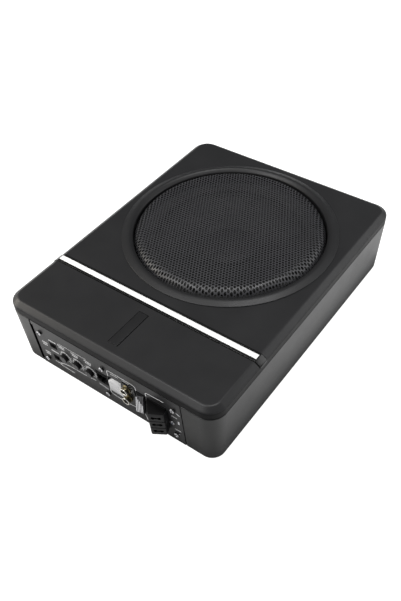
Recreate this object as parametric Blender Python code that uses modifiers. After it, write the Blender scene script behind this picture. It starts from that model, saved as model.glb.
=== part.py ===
"""Powered car subwoofer for under a seat: a shallow cast case with its own amplifier, a lid
that carries an 8 inch class woofer under a domed grille, and a control panel on the front.

Frame: X along the control panel, Y along the case (the panel faces -Y), Z up, origin on the
floor under the middle of the whole unit, plug included. Lengths are in metres. The pieces are
first laid out about the middle of the case, then moved together at the end.
"""
import math

import bmesh
import bpy
from mathutils import Vector

MM = 0.001
FIT = 0.3 * MM              # clearance between pieces that touch on the real product
BEYOND = 1.0 * MM           # how far a cut runs past the face it opens, or a join sinks in

# Case and lid
CASE_WIDTH = 250.0 * MM     # along X, at the seam
CASE_LENGTH = 330.0 * MM    # along Y, at the seam
FOOT_GAP = 1.5 * MM         # floor to the underside of the case
SEAM_HEIGHT = 67.1 * MM     # floor to the joint between case and lid
LID_HEIGHT = 12.2 * MM      # seam to the flat top
CHAMFER_INSET = 6.1 * MM
CHAMFER_DROP = 4.2 * MM
CORNER_RADIUS = 17.6 * MM   # plan radius at the seam
WALL = 3.0 * MM
WALL_DRAFT = 0.06           # inward lean of the case walls, per unit of depth
BOTTOM_ROUND = 1.8 * MM
CORNER_STEPS = 6

# Woofer opening and grille
DRIVER_Y = 39.0 * MM        # centre of the woofer, behind the middle of the case
OPENING_RADIUS = 103.0 * MM
SHELF_DEPTH = 15.3 * MM     # flat top down to the shelf that carries the woofer
SHELF_THICKNESS = 3.0 * MM
SHELF_WIDTH = 15.0 * MM     # ledge that carries the woofer
SHELF_HOLE_RADIUS = OPENING_RADIUS - SHELF_WIDTH
SHELF_WALL = 2.5 * MM
RING_RADIUS = OPENING_RADIUS + 10.5 * MM        # foot of the collar around the grille
RING_CREST_RADIUS = OPENING_RADIUS + 3.3 * MM
RING_CREST_HEIGHT = 3.0 * MM
RING_LIP = 1.4 * MM         # wall of the collar's spigot
RING_SPIGOT = 5.5 * MM
GRILLE_GAP = 0.8 * MM       # dark line between grille and collar
GRILLE_SHEET = 1.0 * MM
GRILLE_EDGE_RADIUS = 8.5 * MM
GRILLE_RISE = 5.5 * MM      # centre of the dome above the flat top
GRILLE_CROWN = 2.0 * MM     # rise from the rounded edge to the centre

# Trim on the lid
BAR_Y = -91.0 * MM
BAR_WIDTH = 10.8 * MM
BAR_SLOT = 0.6 * MM         # open line along each side of the carrier bar
BAR_PROUD = 0.6 * MM
BAR_SEAT = 1.5 * MM         # depth of the groove that the bar lies in
STRIP_WIDTH = 5.6 * MM
STRIP_THICKNESS = 1.0 * MM
BADGE_SIZE = (11.0 * MM, 45.5 * MM)
BADGE_CENTRE = (1.5 * MM, -128.0 * MM)
BADGE_DEPTH = 1.0 * MM

# Control panel, in the panel's own frame: x, depth out of the face, height above the seam
PANEL_WIDTH = 181.0 * MM
PANEL_CENTRE = -3.0 * MM
PANEL_THICKNESS = 2.5 * MM
PANEL_HEIGHT = 64.6 * MM
PANEL_EDGE_GAP = 0.8 * MM
FRAME_THICKNESS = 3.5 * MM  # screw frame behind the panel
FRAME_MARGIN = 6.0 * MM     # how far that frame runs past the panel's ends
FRAME_DROP = 1.5 * MM       # its top below the seam
SCREW_ROWS = (-13.0 * MM, -52.3 * MM)
SCREW_COLUMNS = (-84.0 * MM, -3.6 * MM, 79.0 * MM)
SCREW_HEAD = (2.7 * MM, 2.0 * MM)   # radius and height of a panel screw's head
SCREW_LENGTH = 5.4 * MM
SCREW_SHANK = 1.45 * MM
SCREW_HOLE = 1.8 * MM
WINDOW = (-79.0 * MM, 77.0 * MM, -49.6 * MM, -15.4 * MM)
WINDOW_BACK = -20.0 * MM    # depth that the cuts through the screw frame reach
POCKET_RUN = 8.0 * MM       # how far the panel's pocket runs past the wall
BOARD_SETBACK = 12.0 * MM   # face of the panel to the upright board behind it
BOARD_THICKNESS = 1.6 * MM

KNOB_ROW = -32.0 * MM
KNOB_FIRST = -55.2 * MM
KNOB_PITCH = 16.5 * MM
KNOB_RADIUS = 4.4 * MM
KNOB_LENGTH = 4.0 * MM
SHAFT_RADIUS = 1.5 * MM
SHAFT_REACH = 2.6 * MM      # end of a control's shaft in front of the panel
POT_SIZE = (9.6 * MM, 10.5 * MM)

SWITCH_X = -69.3 * MM
SWITCH_ROWS = (-24.2 * MM, -43.4 * MM)
SWITCH_HOLE = (7.2 * MM, 5.2 * MM)
SLIDER_SIZE = (3.4 * MM, 4.2 * MM)
SLIDER_TRAVEL = 3.0 * MM
SLIDER_PROUD = 0.8 * MM
SWITCH_BODY = (11.0 * MM, 7.4 * MM)
SWITCH_WELL = 2.5 * MM

REMOTE_BOX = (-14.0 * MM, 0.0 * MM, -38.8 * MM, -22.0 * MM)
REMOTE_BORE = (11.2 * MM, 8.4 * MM, 9.0 * MM)
INPUT_BOX = (1.2 * MM, 18.0 * MM, -42.0 * MM, -20.4 * MM)
INPUT_PROUD = 0.8 * MM
INPUT_CORNER = 7.0 * MM
RCA_BOX = (19.6 * MM, 34.8 * MM, -45.0 * MM, -15.8 * MM)
RCA_PROUD = 1.0 * MM
RCA_X = 25.4 * MM
RCA_ROWS = (-21.6 * MM, -36.2 * MM)
RCA_RADIUS = 4.15 * MM
RCA_BORE = 3.2 * MM
RCA_LENGTH = 5.0 * MM
RCA_FLOOR = 1.0 * MM
MULTI_BOX = (36.6 * MM, 46.4 * MM, -47.0 * MM, -17.2 * MM)
MULTI_PROUD = 4.5 * MM
POWER_CENTRE = (59.5 * MM, -34.2 * MM)
POWER_TONGUE = (17.6 * MM, 29.6 * MM, 8.0 * MM)
POWER_WALL = 1.5 * MM
SOCKET_PROUD = 0.5 * MM     # rim of the power socket out of the panel
PLUG_PITCH = 10.16 * MM
PLUG_LEFT = 48.6 * MM
PLUG_RIGHT = 70.8 * MM
PLUG_REACH = 13.2 * MM      # how far the angled face's outer corner stands off the panel
PLUG_SLOT = (7.0 * MM, 2.8 * MM, 6.0 * MM)      # across, high and deep
PLUG_GROOVE = (40.0 * MM, 1.0 * MM, 0.6 * MM)   # line between two cells of the plug
LED_SPOT = (75.0 * MM, -36.9 * MM)
LED_RADIUS = 1.6 * MM
LED_PROUD = 1.2 * MM

# Woofer
FLANGE_RADIUS = OPENING_RADIUS - 4.0 * MM       # clear of the grille's upright rim
FLANGE_THICKNESS = 2.5 * MM
BASKET_SHEET = 1.7 * MM
BASKET_MOUTH = SHELF_HOLE_RADIUS - 1.5 * MM     # radius under the flange
BASKET_STEP_DROP = 22.0 * MM
BASKET_STEP_RADIUS = 59.0 * MM
BASKET_CUP_RADIUS = 46.5 * MM
BASKET_DEPTH = 30.0 * MM
WINDOW_EDGE = 4.0 * MM      # metal left above and below each window in the basket
ROLL_OUTER = BASKET_MOUTH + 0.5 * MM
ROLL_INNER = ROLL_OUTER - 9.4 * MM
CONE_RADIUS = ROLL_INNER - 0.4 * MM
CONE_SHEET = 1.0 * MM
CONE_DEPTH = 14.8 * MM
CONE_RIM = 4.2 * MM
RUBBER = 1.0 * MM
COIL_RADIUS = 19.0 * MM     # inside of the former
FORMER_SHEET = 0.4 * MM
WINDING_SHEET = 0.6 * MM
COIL_CLEARANCE = 0.6 * MM   # to the pole inside and the plate outside
COIL_FLOOR = 11.0 * MM      # rest position above the back plate
WINDING_LENGTH = 11.0 * MM
COIL_PROUD = 1.0 * MM       # former above the neck of the cone
CAP_RADIUS = 30.0 * MM
CAP_RISE = 8.0 * MM
SPIDER_RADIUS = 56.0 * MM
SPIDER_WAVE = 1.2 * MM
SPIDER_WAVES = 4
PLATE_RADIUS = 47.0 * MM
PLATE_THICKNESS = 4.7 * MM
MAGNET_RADIUS = 50.0 * MM
MAGNET_BORE = 24.0 * MM
MAGNET_THICKNESS = 14.0 * MM
YOKE_RADIUS = 45.0 * MM
VENT_RADIUS = 6.0 * MM
DRIVER_SCREW_CIRCLE = FLANGE_RADIUS - 3.7 * MM

# Floor, posts and boards
FOOT_RADIUS = 7.0 * MM
FOOT_RECESS = 1.0 * MM
FOOT_SPOTS = (98.0 * MM, 138.0 * MM)
POST_RADIUS = 4.2 * MM
POST_SPOTS = (110.0 * MM, 149.0 * MM)
POST_BORE = 1.7 * MM
POST_BORE_TOP = 24.0 * MM
CASE_SCREW = (4.0 * MM, 1.1 * MM, 1.4 * MM, 20.0 * MM)  # head radius, head, shank, tip height
HEAD_POCKET = (4.3 * MM, 1.5 * MM)      # radius and depth of the recess for a case screw
FLOOR_HOLE = 2.0 * MM
STANDOFF_HEIGHT = 7.0 * MM
STANDOFF_RADIUS = 3.5 * MM
STANDOFF_INSET = 7.0 * MM
BOARD_SIZE = (150.0 * MM, 70.0 * MM)
BOARD_CENTRE = (-3.0 * MM, -112.0 * MM)
CAPACITOR = (9.0 * MM, 30.0 * MM)       # radius and height
TRANSFORMER = (12.0 * MM, 5.0 * MM)     # ring radius and winding radius
LEAD_RADIUS = 1.6 * MM
LEAD_STEPS = 16

ROUND = 40                  # sides of the large turned pieces
MIDDLING = 24               # sides of feet, the capacitor and their recesses
SMALL = 12                  # sides of screws, jacks and knobs

TOP = SEAM_HEIGHT + LID_HEIGHT
CASE_TOP = SEAM_HEIGHT - FIT
FLOOR_TOP = FOOT_GAP + WALL
SHELF_TOP = TOP - SHELF_DEPTH
TILT = math.atan(WALL_DRAFT)
CORNERS = ((-1, -1), (1, -1), (-1, 1), (1, 1))


# ---------------------------------------------------------------- scene helpers

for old in list(bpy.data.objects):
    bpy.data.objects.remove(old, do_unlink=True)


def new_collection(name):
    made = bpy.data.collections.new(name)
    bpy.context.scene.collection.children.link(made)
    return made


PARTS = new_collection("powered_subwoofer")
CUTTERS = new_collection("cutters")


def material(name, colour, roughness, metallic=0.0):
    made = bpy.data.materials.new(name)
    made.use_nodes = True
    shader = made.node_tree.nodes["Principled BSDF"]
    shader.inputs["Base Color"].default_value = (*colour, 1.0)
    shader.inputs["Roughness"].default_value = roughness
    shader.inputs["Metallic"].default_value = metallic
    made.diffuse_color = (*colour, 1.0)
    return made


CAST_PAINT = material("cast_paint", (0.055, 0.058, 0.056), 0.5, 0.3)
LID_PAINT = material("lid_paint", (0.03, 0.03, 0.03), 0.55)
BLACK_STEEL = material("black_steel", (0.02, 0.02, 0.022), 0.4, 0.6)
SATIN_SILVER = material("satin_silver", (0.9, 0.9, 0.9), 0.3, 0.9)
BLACK_PLASTIC = material("black_plastic", (0.012, 0.012, 0.012), 0.35)
WHITE_NYLON = material("white_nylon", (0.8, 0.8, 0.78), 0.5)
NICKEL = material("nickel", (0.75, 0.73, 0.68), 0.25, 1.0)
RUBBER_BLACK = material("rubber_black", (0.015, 0.015, 0.015), 0.8)
PULP = material("pressed_pulp", (0.03, 0.03, 0.03), 0.9)
CLOTH = material("varnished_cloth", (0.45, 0.33, 0.12), 0.9)
COPPER = material("copper", (0.7, 0.3, 0.15), 0.35, 1.0)
ZINC = material("zinc_steel", (0.6, 0.6, 0.62), 0.35, 1.0)
FERRITE = material("ferrite", (0.05, 0.05, 0.055), 0.7)
BOARD_GREEN = material("board_green", (0.02, 0.12, 0.05), 0.4)
LENS = material("lens", (0.2, 0.4, 0.8), 0.2)


def place(thing, parent=None, look=None, collection=PARTS):
    collection.objects.link(thing)
    thing.parent = parent
    if look:
        thing.data.materials.append(look)
    return thing


def from_bmesh(name, bm, look=None, parent=None):
    mesh = bpy.data.meshes.new(name)
    bm.to_mesh(mesh)
    bm.free()
    return place(bpy.data.objects.new(name, mesh), parent, look)


def smooth(thing, degrees=40.0):
    thing.data.shade_smooth()
    thing.data.set_sharp_from_angle(angle=math.radians(degrees))
    return thing


def block(name, low, high, look=None, parent=None):
    """Box between two corners, with its origin at its middle."""
    low, high = Vector(low), Vector(high)
    bm = bmesh.new()
    bmesh.ops.create_cube(bm, size=1.0)
    bmesh.ops.scale(bm, verts=bm.verts, vec=high - low)
    made = from_bmesh(name, bm, look, parent)
    made.location = (low + high) / 2.0
    return made


def rod(name, radius, start, end, look=None, parent=None, sides=SMALL):
    """Round bar between two points."""
    start, end = Vector(start), Vector(end)
    along = end - start
    bm = bmesh.new()
    bmesh.ops.create_cone(bm, cap_ends=True, segments=sides, radius1=radius, radius2=radius,
                          depth=along.length)
    made = from_bmesh(name, bm, look, parent)
    made.location = (start + end) / 2.0
    made.rotation_euler = along.to_track_quat("Z", "X").to_euler()
    return smooth(made)


def turned(name, profile, look=None, parent=None, centre=(0.0, 0.0), sides=ROUND, closed=True):
    """Solid of revolution about a vertical axis: profile points are (radius, height)."""
    count = len(profile)
    edges = [(i, (i + 1) % count) for i in range(count if closed else count - 1)]
    mesh = bpy.data.meshes.new(name)
    mesh.from_pydata([(r, 0.0, z) for r, z in profile], edges, [])
    made = place(bpy.data.objects.new(name, mesh), parent, look)
    made.location = (*centre, 0.0)
    spin = made.modifiers.new("turn", "SCREW")
    spin.steps = sides
    spin.render_steps = sides
    spin.use_merge_vertices = True
    spin.merge_threshold = 0.00005
    spin.use_smooth_shade = False
    return made


def extruded(name, points, thickness, look=None, parent=None):
    """Flat outline in X and Y, made as thick as given about its own plane."""
    curve = bpy.data.curves.new(name, "CURVE")
    curve.dimensions = "2D"
    curve.fill_mode = "BOTH"
    curve.extrude = thickness / 2.0
    spline = curve.splines.new("POLY")
    spline.points.add(len(points) - 1)
    for point, (x, y) in zip(spline.points, points):
        point.co = (x, y, 0.0, 1.0)
    spline.use_cyclic_u = True
    guide = place(bpy.data.objects.new(name + "_guide", curve))
    mesh = bpy.data.meshes.new_from_object(guide.evaluated_get(bpy.context.evaluated_depsgraph_get()))
    bpy.data.objects.remove(guide)
    bm = bmesh.new()
    bm.from_mesh(mesh)
    bmesh.ops.remove_doubles(bm, verts=bm.verts, dist=0.00001)
    bm.to_mesh(mesh)
    bm.free()
    return place(bpy.data.objects.new(name, mesh), parent, look)


def rounded_ring(half_x, half_y, radius, z):
    """Corner points of a rounded rectangle at one height, anticlockwise."""
    ring = []
    for quarter, (sx, sy) in enumerate(((1, 1), (-1, 1), (-1, -1), (1, -1))):
        for step in range(CORNER_STEPS + 1):
            angle = (quarter + step / CORNER_STEPS) * math.pi / 2.0
            x = sx * (half_x - radius) + radius * math.cos(angle)
            y = sy * (half_y - radius) + radius * math.sin(angle)
            ring.append((x, y, z))
    return ring


def lofted(name, rings, look):
    """Skin through rings of equal count, closed by a face on the first and on the last."""
    bm = bmesh.new()
    loops = [[bm.verts.new(point) for point in ring] for ring in rings]
    count = len(loops[0])
    for lower, upper in zip(loops, loops[1:]):
        for i in range(count):
            bm.faces.new((lower[i], lower[(i + 1) % count], upper[(i + 1) % count], upper[i]))
    bm.faces.new(loops[0])
    bm.faces.new(loops[-1])
    bmesh.ops.recalc_face_normals(bm, faces=bm.faces)
    return from_bmesh(name, bm, look)


def combine(target, tool, operation):
    """Boolean with another object, which becomes a guide that is not a part."""
    for holder in list(tool.users_collection):
        holder.objects.unlink(tool)
    CUTTERS.objects.link(tool)
    tool.hide_render = True
    tool.display_type = "WIRE"
    change = target.modifiers.new(tool.name, "BOOLEAN")
    change.operation = operation
    change.solver = "EXACT"
    change.object = tool


def cut(target, tool):
    combine(target, tool, "DIFFERENCE")


def join(target, tool):
    combine(target, tool, "UNION")


# ---------------------------------------------------------------- the panel's own frame

# Local x runs along the panel, local -y out of its face and local z up the leaning face.
panel_frame = place(bpy.data.objects.new("panel_frame", None))
panel_frame.location = (0.0, -CASE_LENGTH / 2.0, SEAM_HEIGHT)
panel_frame.rotation_euler = (TILT, 0.0, 0.0)


def panel_block(name, span, back, front, look=None):
    """Box in the panel's frame: span is (left, right, bottom, top), depths run outwards."""
    left, right, bottom, top = span
    return block(name, (left, -front, bottom), (right, -back, top), look, panel_frame)


def panel_rod(name, radius, spot, back, front, look=None, sides=SMALL):
    x, height = spot
    return rod(name, radius, (x, -back, height), (x, -front, height), look, panel_frame, sides)


def panel_turned(name, profile, spot, look):
    """Turned piece whose axis stands out of the panel: its profile of (radius, depth) points
    starts and ends on that axis."""
    made = turned(name, profile, look, panel_frame, sides=SMALL, closed=False)
    x, height = spot
    made.location = (x, 0.0, height)
    made.rotation_euler = (math.pi / 2.0, 0.0, 0.0)
    return made


def grown(span, margin):
    left, right, bottom, top = span
    return (left - margin, right + margin, bottom - margin, top + margin)


def centred(spot, size):
    return (spot[0] - size[0] / 2.0, spot[0] + size[0] / 2.0,
            spot[1] - size[1] / 2.0, spot[1] + size[1] / 2.0)


PANEL_SPAN = (PANEL_CENTRE - PANEL_WIDTH / 2.0, PANEL_CENTRE + PANEL_WIDTH / 2.0,
              -PANEL_HEIGHT, -FIT)
PANEL_BACK = -PANEL_THICKNESS - FIT
BOARD_FACE = -BOARD_SETBACK + FIT
POWER_SPAN = centred(POWER_CENTRE, (POWER_TONGUE[0] + 2 * (POWER_WALL + FIT),
                                    POWER_TONGUE[1] + 2 * (POWER_WALL + FIT)))
KNOB_SPOTS = [(KNOB_FIRST + i * KNOB_PITCH, KNOB_ROW) for i in range(3)]
SCREW_SPOTS = [(x, height) for x in SCREW_COLUMNS for height in SCREW_ROWS]


# ---------------------------------------------------------------- case and lid

def case_ring(inset, z, shrink=0.0):
    """Rounded outline of the case wall at one height, with its draft."""
    lean = WALL_DRAFT * (SEAM_HEIGHT - z) + inset + shrink
    radius = max(CORNER_RADIUS - lean, 2.0 * MM)
    return rounded_ring(CASE_WIDTH / 2.0 - lean, CASE_LENGTH / 2.0 - lean, radius, z)


def make_case():
    rings = [case_ring(WALL, FLOOR_TOP), case_ring(WALL, CASE_TOP), case_ring(0.0, CASE_TOP)]
    for step in range(4):
        angle = step / 3.0 * math.pi / 2.0
        drop = BOTTOM_ROUND * (1.0 - math.sin(angle))
        rings.append(case_ring(BOTTOM_ROUND * (1.0 - math.cos(angle)), FOOT_GAP + drop))
    case = lofted("lower_case", rings, CAST_PAINT)
    frame_span = (PANEL_SPAN[0] - FRAME_MARGIN, PANEL_SPAN[1] + FRAME_MARGIN,
                  FLOOR_TOP - SEAM_HEIGHT - BEYOND, -FRAME_DROP)
    join(case, panel_block("screw_frame", frame_span, -WALL - FRAME_THICKNESS, -WALL / 2.0))
    half_x, half_y = BOARD_SIZE[0] / 2.0 - STANDOFF_INSET, BOARD_SIZE[1] / 2.0 - STANDOFF_INSET
    for i, (sx, sy) in enumerate(CORNERS):
        x, y = BOARD_CENTRE[0] + sx * half_x, BOARD_CENTRE[1] + sy * half_y
        join(case, rod(f"standoff_{i}", STANDOFF_RADIUS, (x, y, FLOOR_TOP - BEYOND),
                       (x, y, FLOOR_TOP + STANDOFF_HEIGHT)))
    pocket = (PANEL_SPAN[0] - PANEL_EDGE_GAP, PANEL_SPAN[1] + PANEL_EDGE_GAP,
              -PANEL_HEIGHT - POCKET_RUN, POCKET_RUN)
    cut(case, panel_block("panel_pocket", pocket, PANEL_BACK, POCKET_RUN))
    cut(case, panel_block("window", WINDOW, WINDOW_BACK, 0.0))
    cut(case, panel_block("power_window", grown(POWER_SPAN, FIT), WINDOW_BACK, 0.0))
    for i, spot in enumerate(SCREW_SPOTS):
        cut(case, panel_rod(f"frame_hole_{i}", SCREW_HOLE, spot, -SCREW_LENGTH - 0.4 * MM, 0.0))
    for i, (sx, sy) in enumerate(CORNERS):
        x, y = sx * FOOT_SPOTS[0], sy * FOOT_SPOTS[1]
        cut(case, rod(f"foot_pocket_{i}", FOOT_RADIUS + FIT, (x, y, 0.0),
                      (x, y, FOOT_GAP + FOOT_RECESS), sides=MIDDLING))
        x, y = sx * POST_SPOTS[0], sy * POST_SPOTS[1]
        cut(case, rod(f"head_pocket_{i}", HEAD_POCKET[0], (x, y, 0.0),
                      (x, y, FOOT_GAP + HEAD_POCKET[1])))
        cut(case, rod(f"floor_hole_{i}", FLOOR_HOLE, (x, y, 0.0), (x, y, FLOOR_TOP + BEYOND)))


def over_lid(offset, low):
    """Outline of the lid across X, moved outwards by offset, from one skirt to the other."""
    slope = math.atan2(CHAMFER_DROP, CHAMFER_INSET)
    side = CASE_WIDTH / 2.0 + offset
    shoulder = TOP - CHAMFER_DROP + offset * math.tan((math.pi / 2.0 - slope) / 2.0)
    edge = CASE_WIDTH / 2.0 - CHAMFER_INSET + offset * math.tan(slope / 2.0)
    half = [(side, low), (side, shoulder), (edge, TOP + offset)]
    return half + [(-x, z) for x, z in reversed(half)]


def across(name, points, width, look=None):
    """Outline in X and Z carried along Y by a width, about the carrier bar's line."""
    made = extruded(name, points, width, look)
    made.rotation_euler = (math.pi / 2.0, 0.0, 0.0)
    made.location = (0.0, BAR_Y, 0.0)
    return made


def make_lid():
    def ring(inset, z):
        return rounded_ring(CASE_WIDTH / 2.0 - inset, CASE_LENGTH / 2.0 - inset,
                            CORNER_RADIUS - inset, z)

    under = TOP - WALL
    rings = [ring(CHAMFER_INSET + 2.0 * MM, under), ring(WALL, under - CHAMFER_DROP),
             ring(WALL, SEAM_HEIGHT), ring(0.0, SEAM_HEIGHT), ring(0.0, TOP - CHAMFER_DROP),
             ring(CHAMFER_INSET, TOP)]
    lid = lofted("top_cover", rings, LID_PAINT)
    shelf_outer = OPENING_RADIUS + SHELF_WALL
    shelf_low = SHELF_TOP - SHELF_THICKNESS
    shelf = [(shelf_outer, under + BEYOND), (shelf_outer, shelf_low),
             (SHELF_HOLE_RADIUS, shelf_low), (SHELF_HOLE_RADIUS, SHELF_TOP),
             (OPENING_RADIUS - BEYOND, SHELF_TOP), (OPENING_RADIUS - BEYOND, under + BEYOND)]
    join(lid, turned("woofer_shelf", shelf, centre=(0.0, DRIVER_Y)))
    for i, (sx, sy) in enumerate(CORNERS):
        x, y = sx * POST_SPOTS[0], sy * POST_SPOTS[1]
        join(lid, rod(f"post_{i}", POST_RADIUS, (x, y, FLOOR_TOP + FIT), (x, y, under + BEYOND)))
        cut(lid, rod(f"post_bore_{i}", POST_BORE, (x, y, 0.0), (x, y, POST_BORE_TOP)))
    cut(lid, rod("opening", OPENING_RADIUS, (0.0, DRIVER_Y, SHELF_TOP),
                 (0.0, DRIVER_Y, TOP + BEYOND), sides=ROUND))
    for i, (x, y) in enumerate(driver_screw_spots()):
        cut(lid, rod(f"shelf_hole_{i}", SCREW_HOLE, (x, y, shelf_low - BEYOND),
                     (x, y, SHELF_TOP + BEYOND)))
    low = TOP - CHAMFER_DROP - BAR_SEAT
    clear, above = CASE_WIDTH / 2.0 + POCKET_RUN, TOP + POCKET_RUN
    groove = over_lid(-BAR_SEAT, low) + [(-clear, low), (-clear, above), (clear, above),
                                         (clear, low)]
    cut(lid, across("bar_groove", groove, BAR_WIDTH + 2.0 * BAR_SLOT))
    spot = centred(BADGE_CENTRE, BADGE_SIZE)
    cut(lid, block("badge_pocket", (spot[0], spot[2], TOP - BADGE_DEPTH),
                   (spot[1], spot[3], TOP + BEYOND)))


def make_trim():
    low = TOP - CHAMFER_DROP - BAR_SEAT + FIT
    seat = FIT - BAR_SEAT
    outline = over_lid(BAR_PROUD, low) + over_lid(seat, low)[::-1]
    bar = across("strip_carrier", outline, BAR_WIDTH, BLACK_PLASTIC)
    half_strip = CASE_WIDTH / 2.0 - CHAMFER_INSET
    floor = TOP + BAR_PROUD - STRIP_THICKNESS
    cut(bar, block("strip_groove",
                   (-half_strip - FIT, BAR_Y - STRIP_WIDTH / 2.0 - FIT, floor),
                   (half_strip + FIT, BAR_Y + STRIP_WIDTH / 2.0 + FIT, TOP + 2.0 * BEYOND)))
    block("trim_strip", (-half_strip, BAR_Y - STRIP_WIDTH / 2.0, floor + FIT),
          (half_strip, BAR_Y + STRIP_WIDTH / 2.0, floor + FIT + STRIP_THICKNESS), SATIN_SILVER)
    spot = grown(centred(BADGE_CENTRE, BADGE_SIZE), -FIT)
    block("badge_plate", (spot[0], spot[2], TOP - BADGE_DEPTH + FIT),
          (spot[1], spot[3], TOP), BLACK_STEEL)


def make_ring():
    spigot = OPENING_RADIUS - FIT
    inner = spigot - RING_LIP
    base = TOP + FIT
    crest = TOP + RING_CREST_HEIGHT
    profile = [(RING_CREST_RADIUS + 0.8 * MM, crest - 0.1 * MM),
               (RING_CREST_RADIUS + 3.5 * MM, crest - 1.0 * MM),
               (RING_RADIUS, base + 0.2 * MM), (RING_RADIUS, base), (spigot, base),
               (spigot, base - RING_SPIGOT), (inner, base - RING_SPIGOT), (inner, base - MM),
               (inner + 1.2 * MM, base + 0.6 * MM), (RING_CREST_RADIUS - 1.0 * MM, crest - 0.2 * MM),
               (RING_CREST_RADIUS, crest)]
    turned("grille_ring", profile, LID_PAINT, centre=(0.0, DRIVER_Y))
    return inner


def make_grille(ring_inner):
    """Domed sheet with a rounded edge and an upright rim that stands on the shelf."""
    outer = ring_inner - GRILLE_GAP
    bend = GRILLE_EDGE_RADIUS
    crown = TOP + GRILLE_RISE
    bend_top = crown - GRILLE_CROWN
    rim = SHELF_TOP + FIT

    def side(sheet):
        flat = outer - bend
        points = [(0.0, crown - sheet), (flat * 0.55, crown - 0.3 * GRILLE_CROWN - sheet)]
        for step in range(4):
            angle = math.radians(90.0 - 30.0 * step)
            points.append((flat + (bend - sheet) * math.cos(angle),
                           bend_top - bend + (bend - sheet) * math.sin(angle)))
        return points + [(outer - sheet, rim)]

    turned("grille", side(0.0) + side(GRILLE_SHEET)[::-1], BLACK_STEEL,
           centre=(0.0, DRIVER_Y), closed=False)


def make_fasteners():
    for i, (x, height) in enumerate(SCREW_SPOTS):
        radius, head = SCREW_HEAD
        profile = [(0.0, head), (0.6 * radius, 0.9 * head), (radius, 0.5 * head), (radius, FIT),
                   (SCREW_SHANK, FIT), (SCREW_SHANK, -SCREW_LENGTH), (0.0, -SCREW_LENGTH)]
        panel_turned(f"panel_screw_{i + 1}", profile, (x, height), ZINC)
    for i, (x, y) in enumerate(driver_screw_spots()):
        base = SHELF_TOP + FIT + FLANGE_THICKNESS + FIT
        tip = SHELF_TOP - SHELF_THICKNESS - BEYOND
        radius, head = SCREW_HEAD
        profile = [(0.0, base + head), (0.6 * radius, base + 0.9 * head),
                   (radius, base + 0.5 * head), (radius, base), (SCREW_SHANK, base),
                   (SCREW_SHANK, tip), (0.0, tip)]
        turned(f"driver_screw_{i + 1}", profile, ZINC, centre=(x, y), sides=SMALL, closed=False)
    for i, (sx, sy) in enumerate(CORNERS):
        x, y = sx * POST_SPOTS[0], sy * POST_SPOTS[1]
        base = FOOT_GAP + 0.1 * MM
        radius, head, shank, tip = CASE_SCREW
        profile = [(0.0, tip), (shank, tip), (shank, base + head), (radius, base + head),
                   (radius, base), (0.0, base)]
        turned(f"case_screw_{i + 1}", profile, ZINC, centre=(x, y), sides=SMALL, closed=False)
        x, y = sx * FOOT_SPOTS[0], sy * FOOT_SPOTS[1]
        rod(f"foot_{i + 1}", FOOT_RADIUS, (x, y, 0.0), (x, y, FOOT_GAP + FOOT_RECESS - FIT),
            RUBBER_BLACK, sides=MIDDLING)


def driver_screw_spots():
    spots = []
    for i in range(4):
        angle = math.radians(45.0 + 90.0 * i)
        spots.append((DRIVER_SCREW_CIRCLE * math.cos(angle),
                      DRIVER_Y + DRIVER_SCREW_CIRCLE * math.sin(angle)))
    return spots


# ---------------------------------------------------------------- woofer

FLANGE_LOW = SHELF_TOP + FIT
FLANGE_TOP = FLANGE_LOW + FLANGE_THICKNESS
STEP_LOW = FLANGE_LOW - BASKET_STEP_DROP
BASKET_LOW = FLANGE_LOW - BASKET_DEPTH
CONE_TOP = FLANGE_TOP
FORMER_OUTER = COIL_RADIUS + FORMER_SHEET
NECK_RADIUS = FORMER_OUTER + FIT
CONE_SLOPE = CONE_DEPTH / (CONE_RADIUS - CONE_RIM - NECK_RADIUS)
SPIDER_HEIGHT = STEP_LOW + BASKET_SHEET + FIT
PLATE_TOP = BASKET_LOW - FIT
MAGNET_TOP = PLATE_TOP - PLATE_THICKNESS - FIT
YOKE_TOP = MAGNET_TOP - MAGNET_THICKNESS - FIT
POLE_RADIUS = COIL_RADIUS - COIL_CLEARANCE
GAP_RADIUS = FORMER_OUTER + WINDING_SHEET + COIL_CLEARANCE
AXIS = (0.0, DRIVER_Y)


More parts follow.
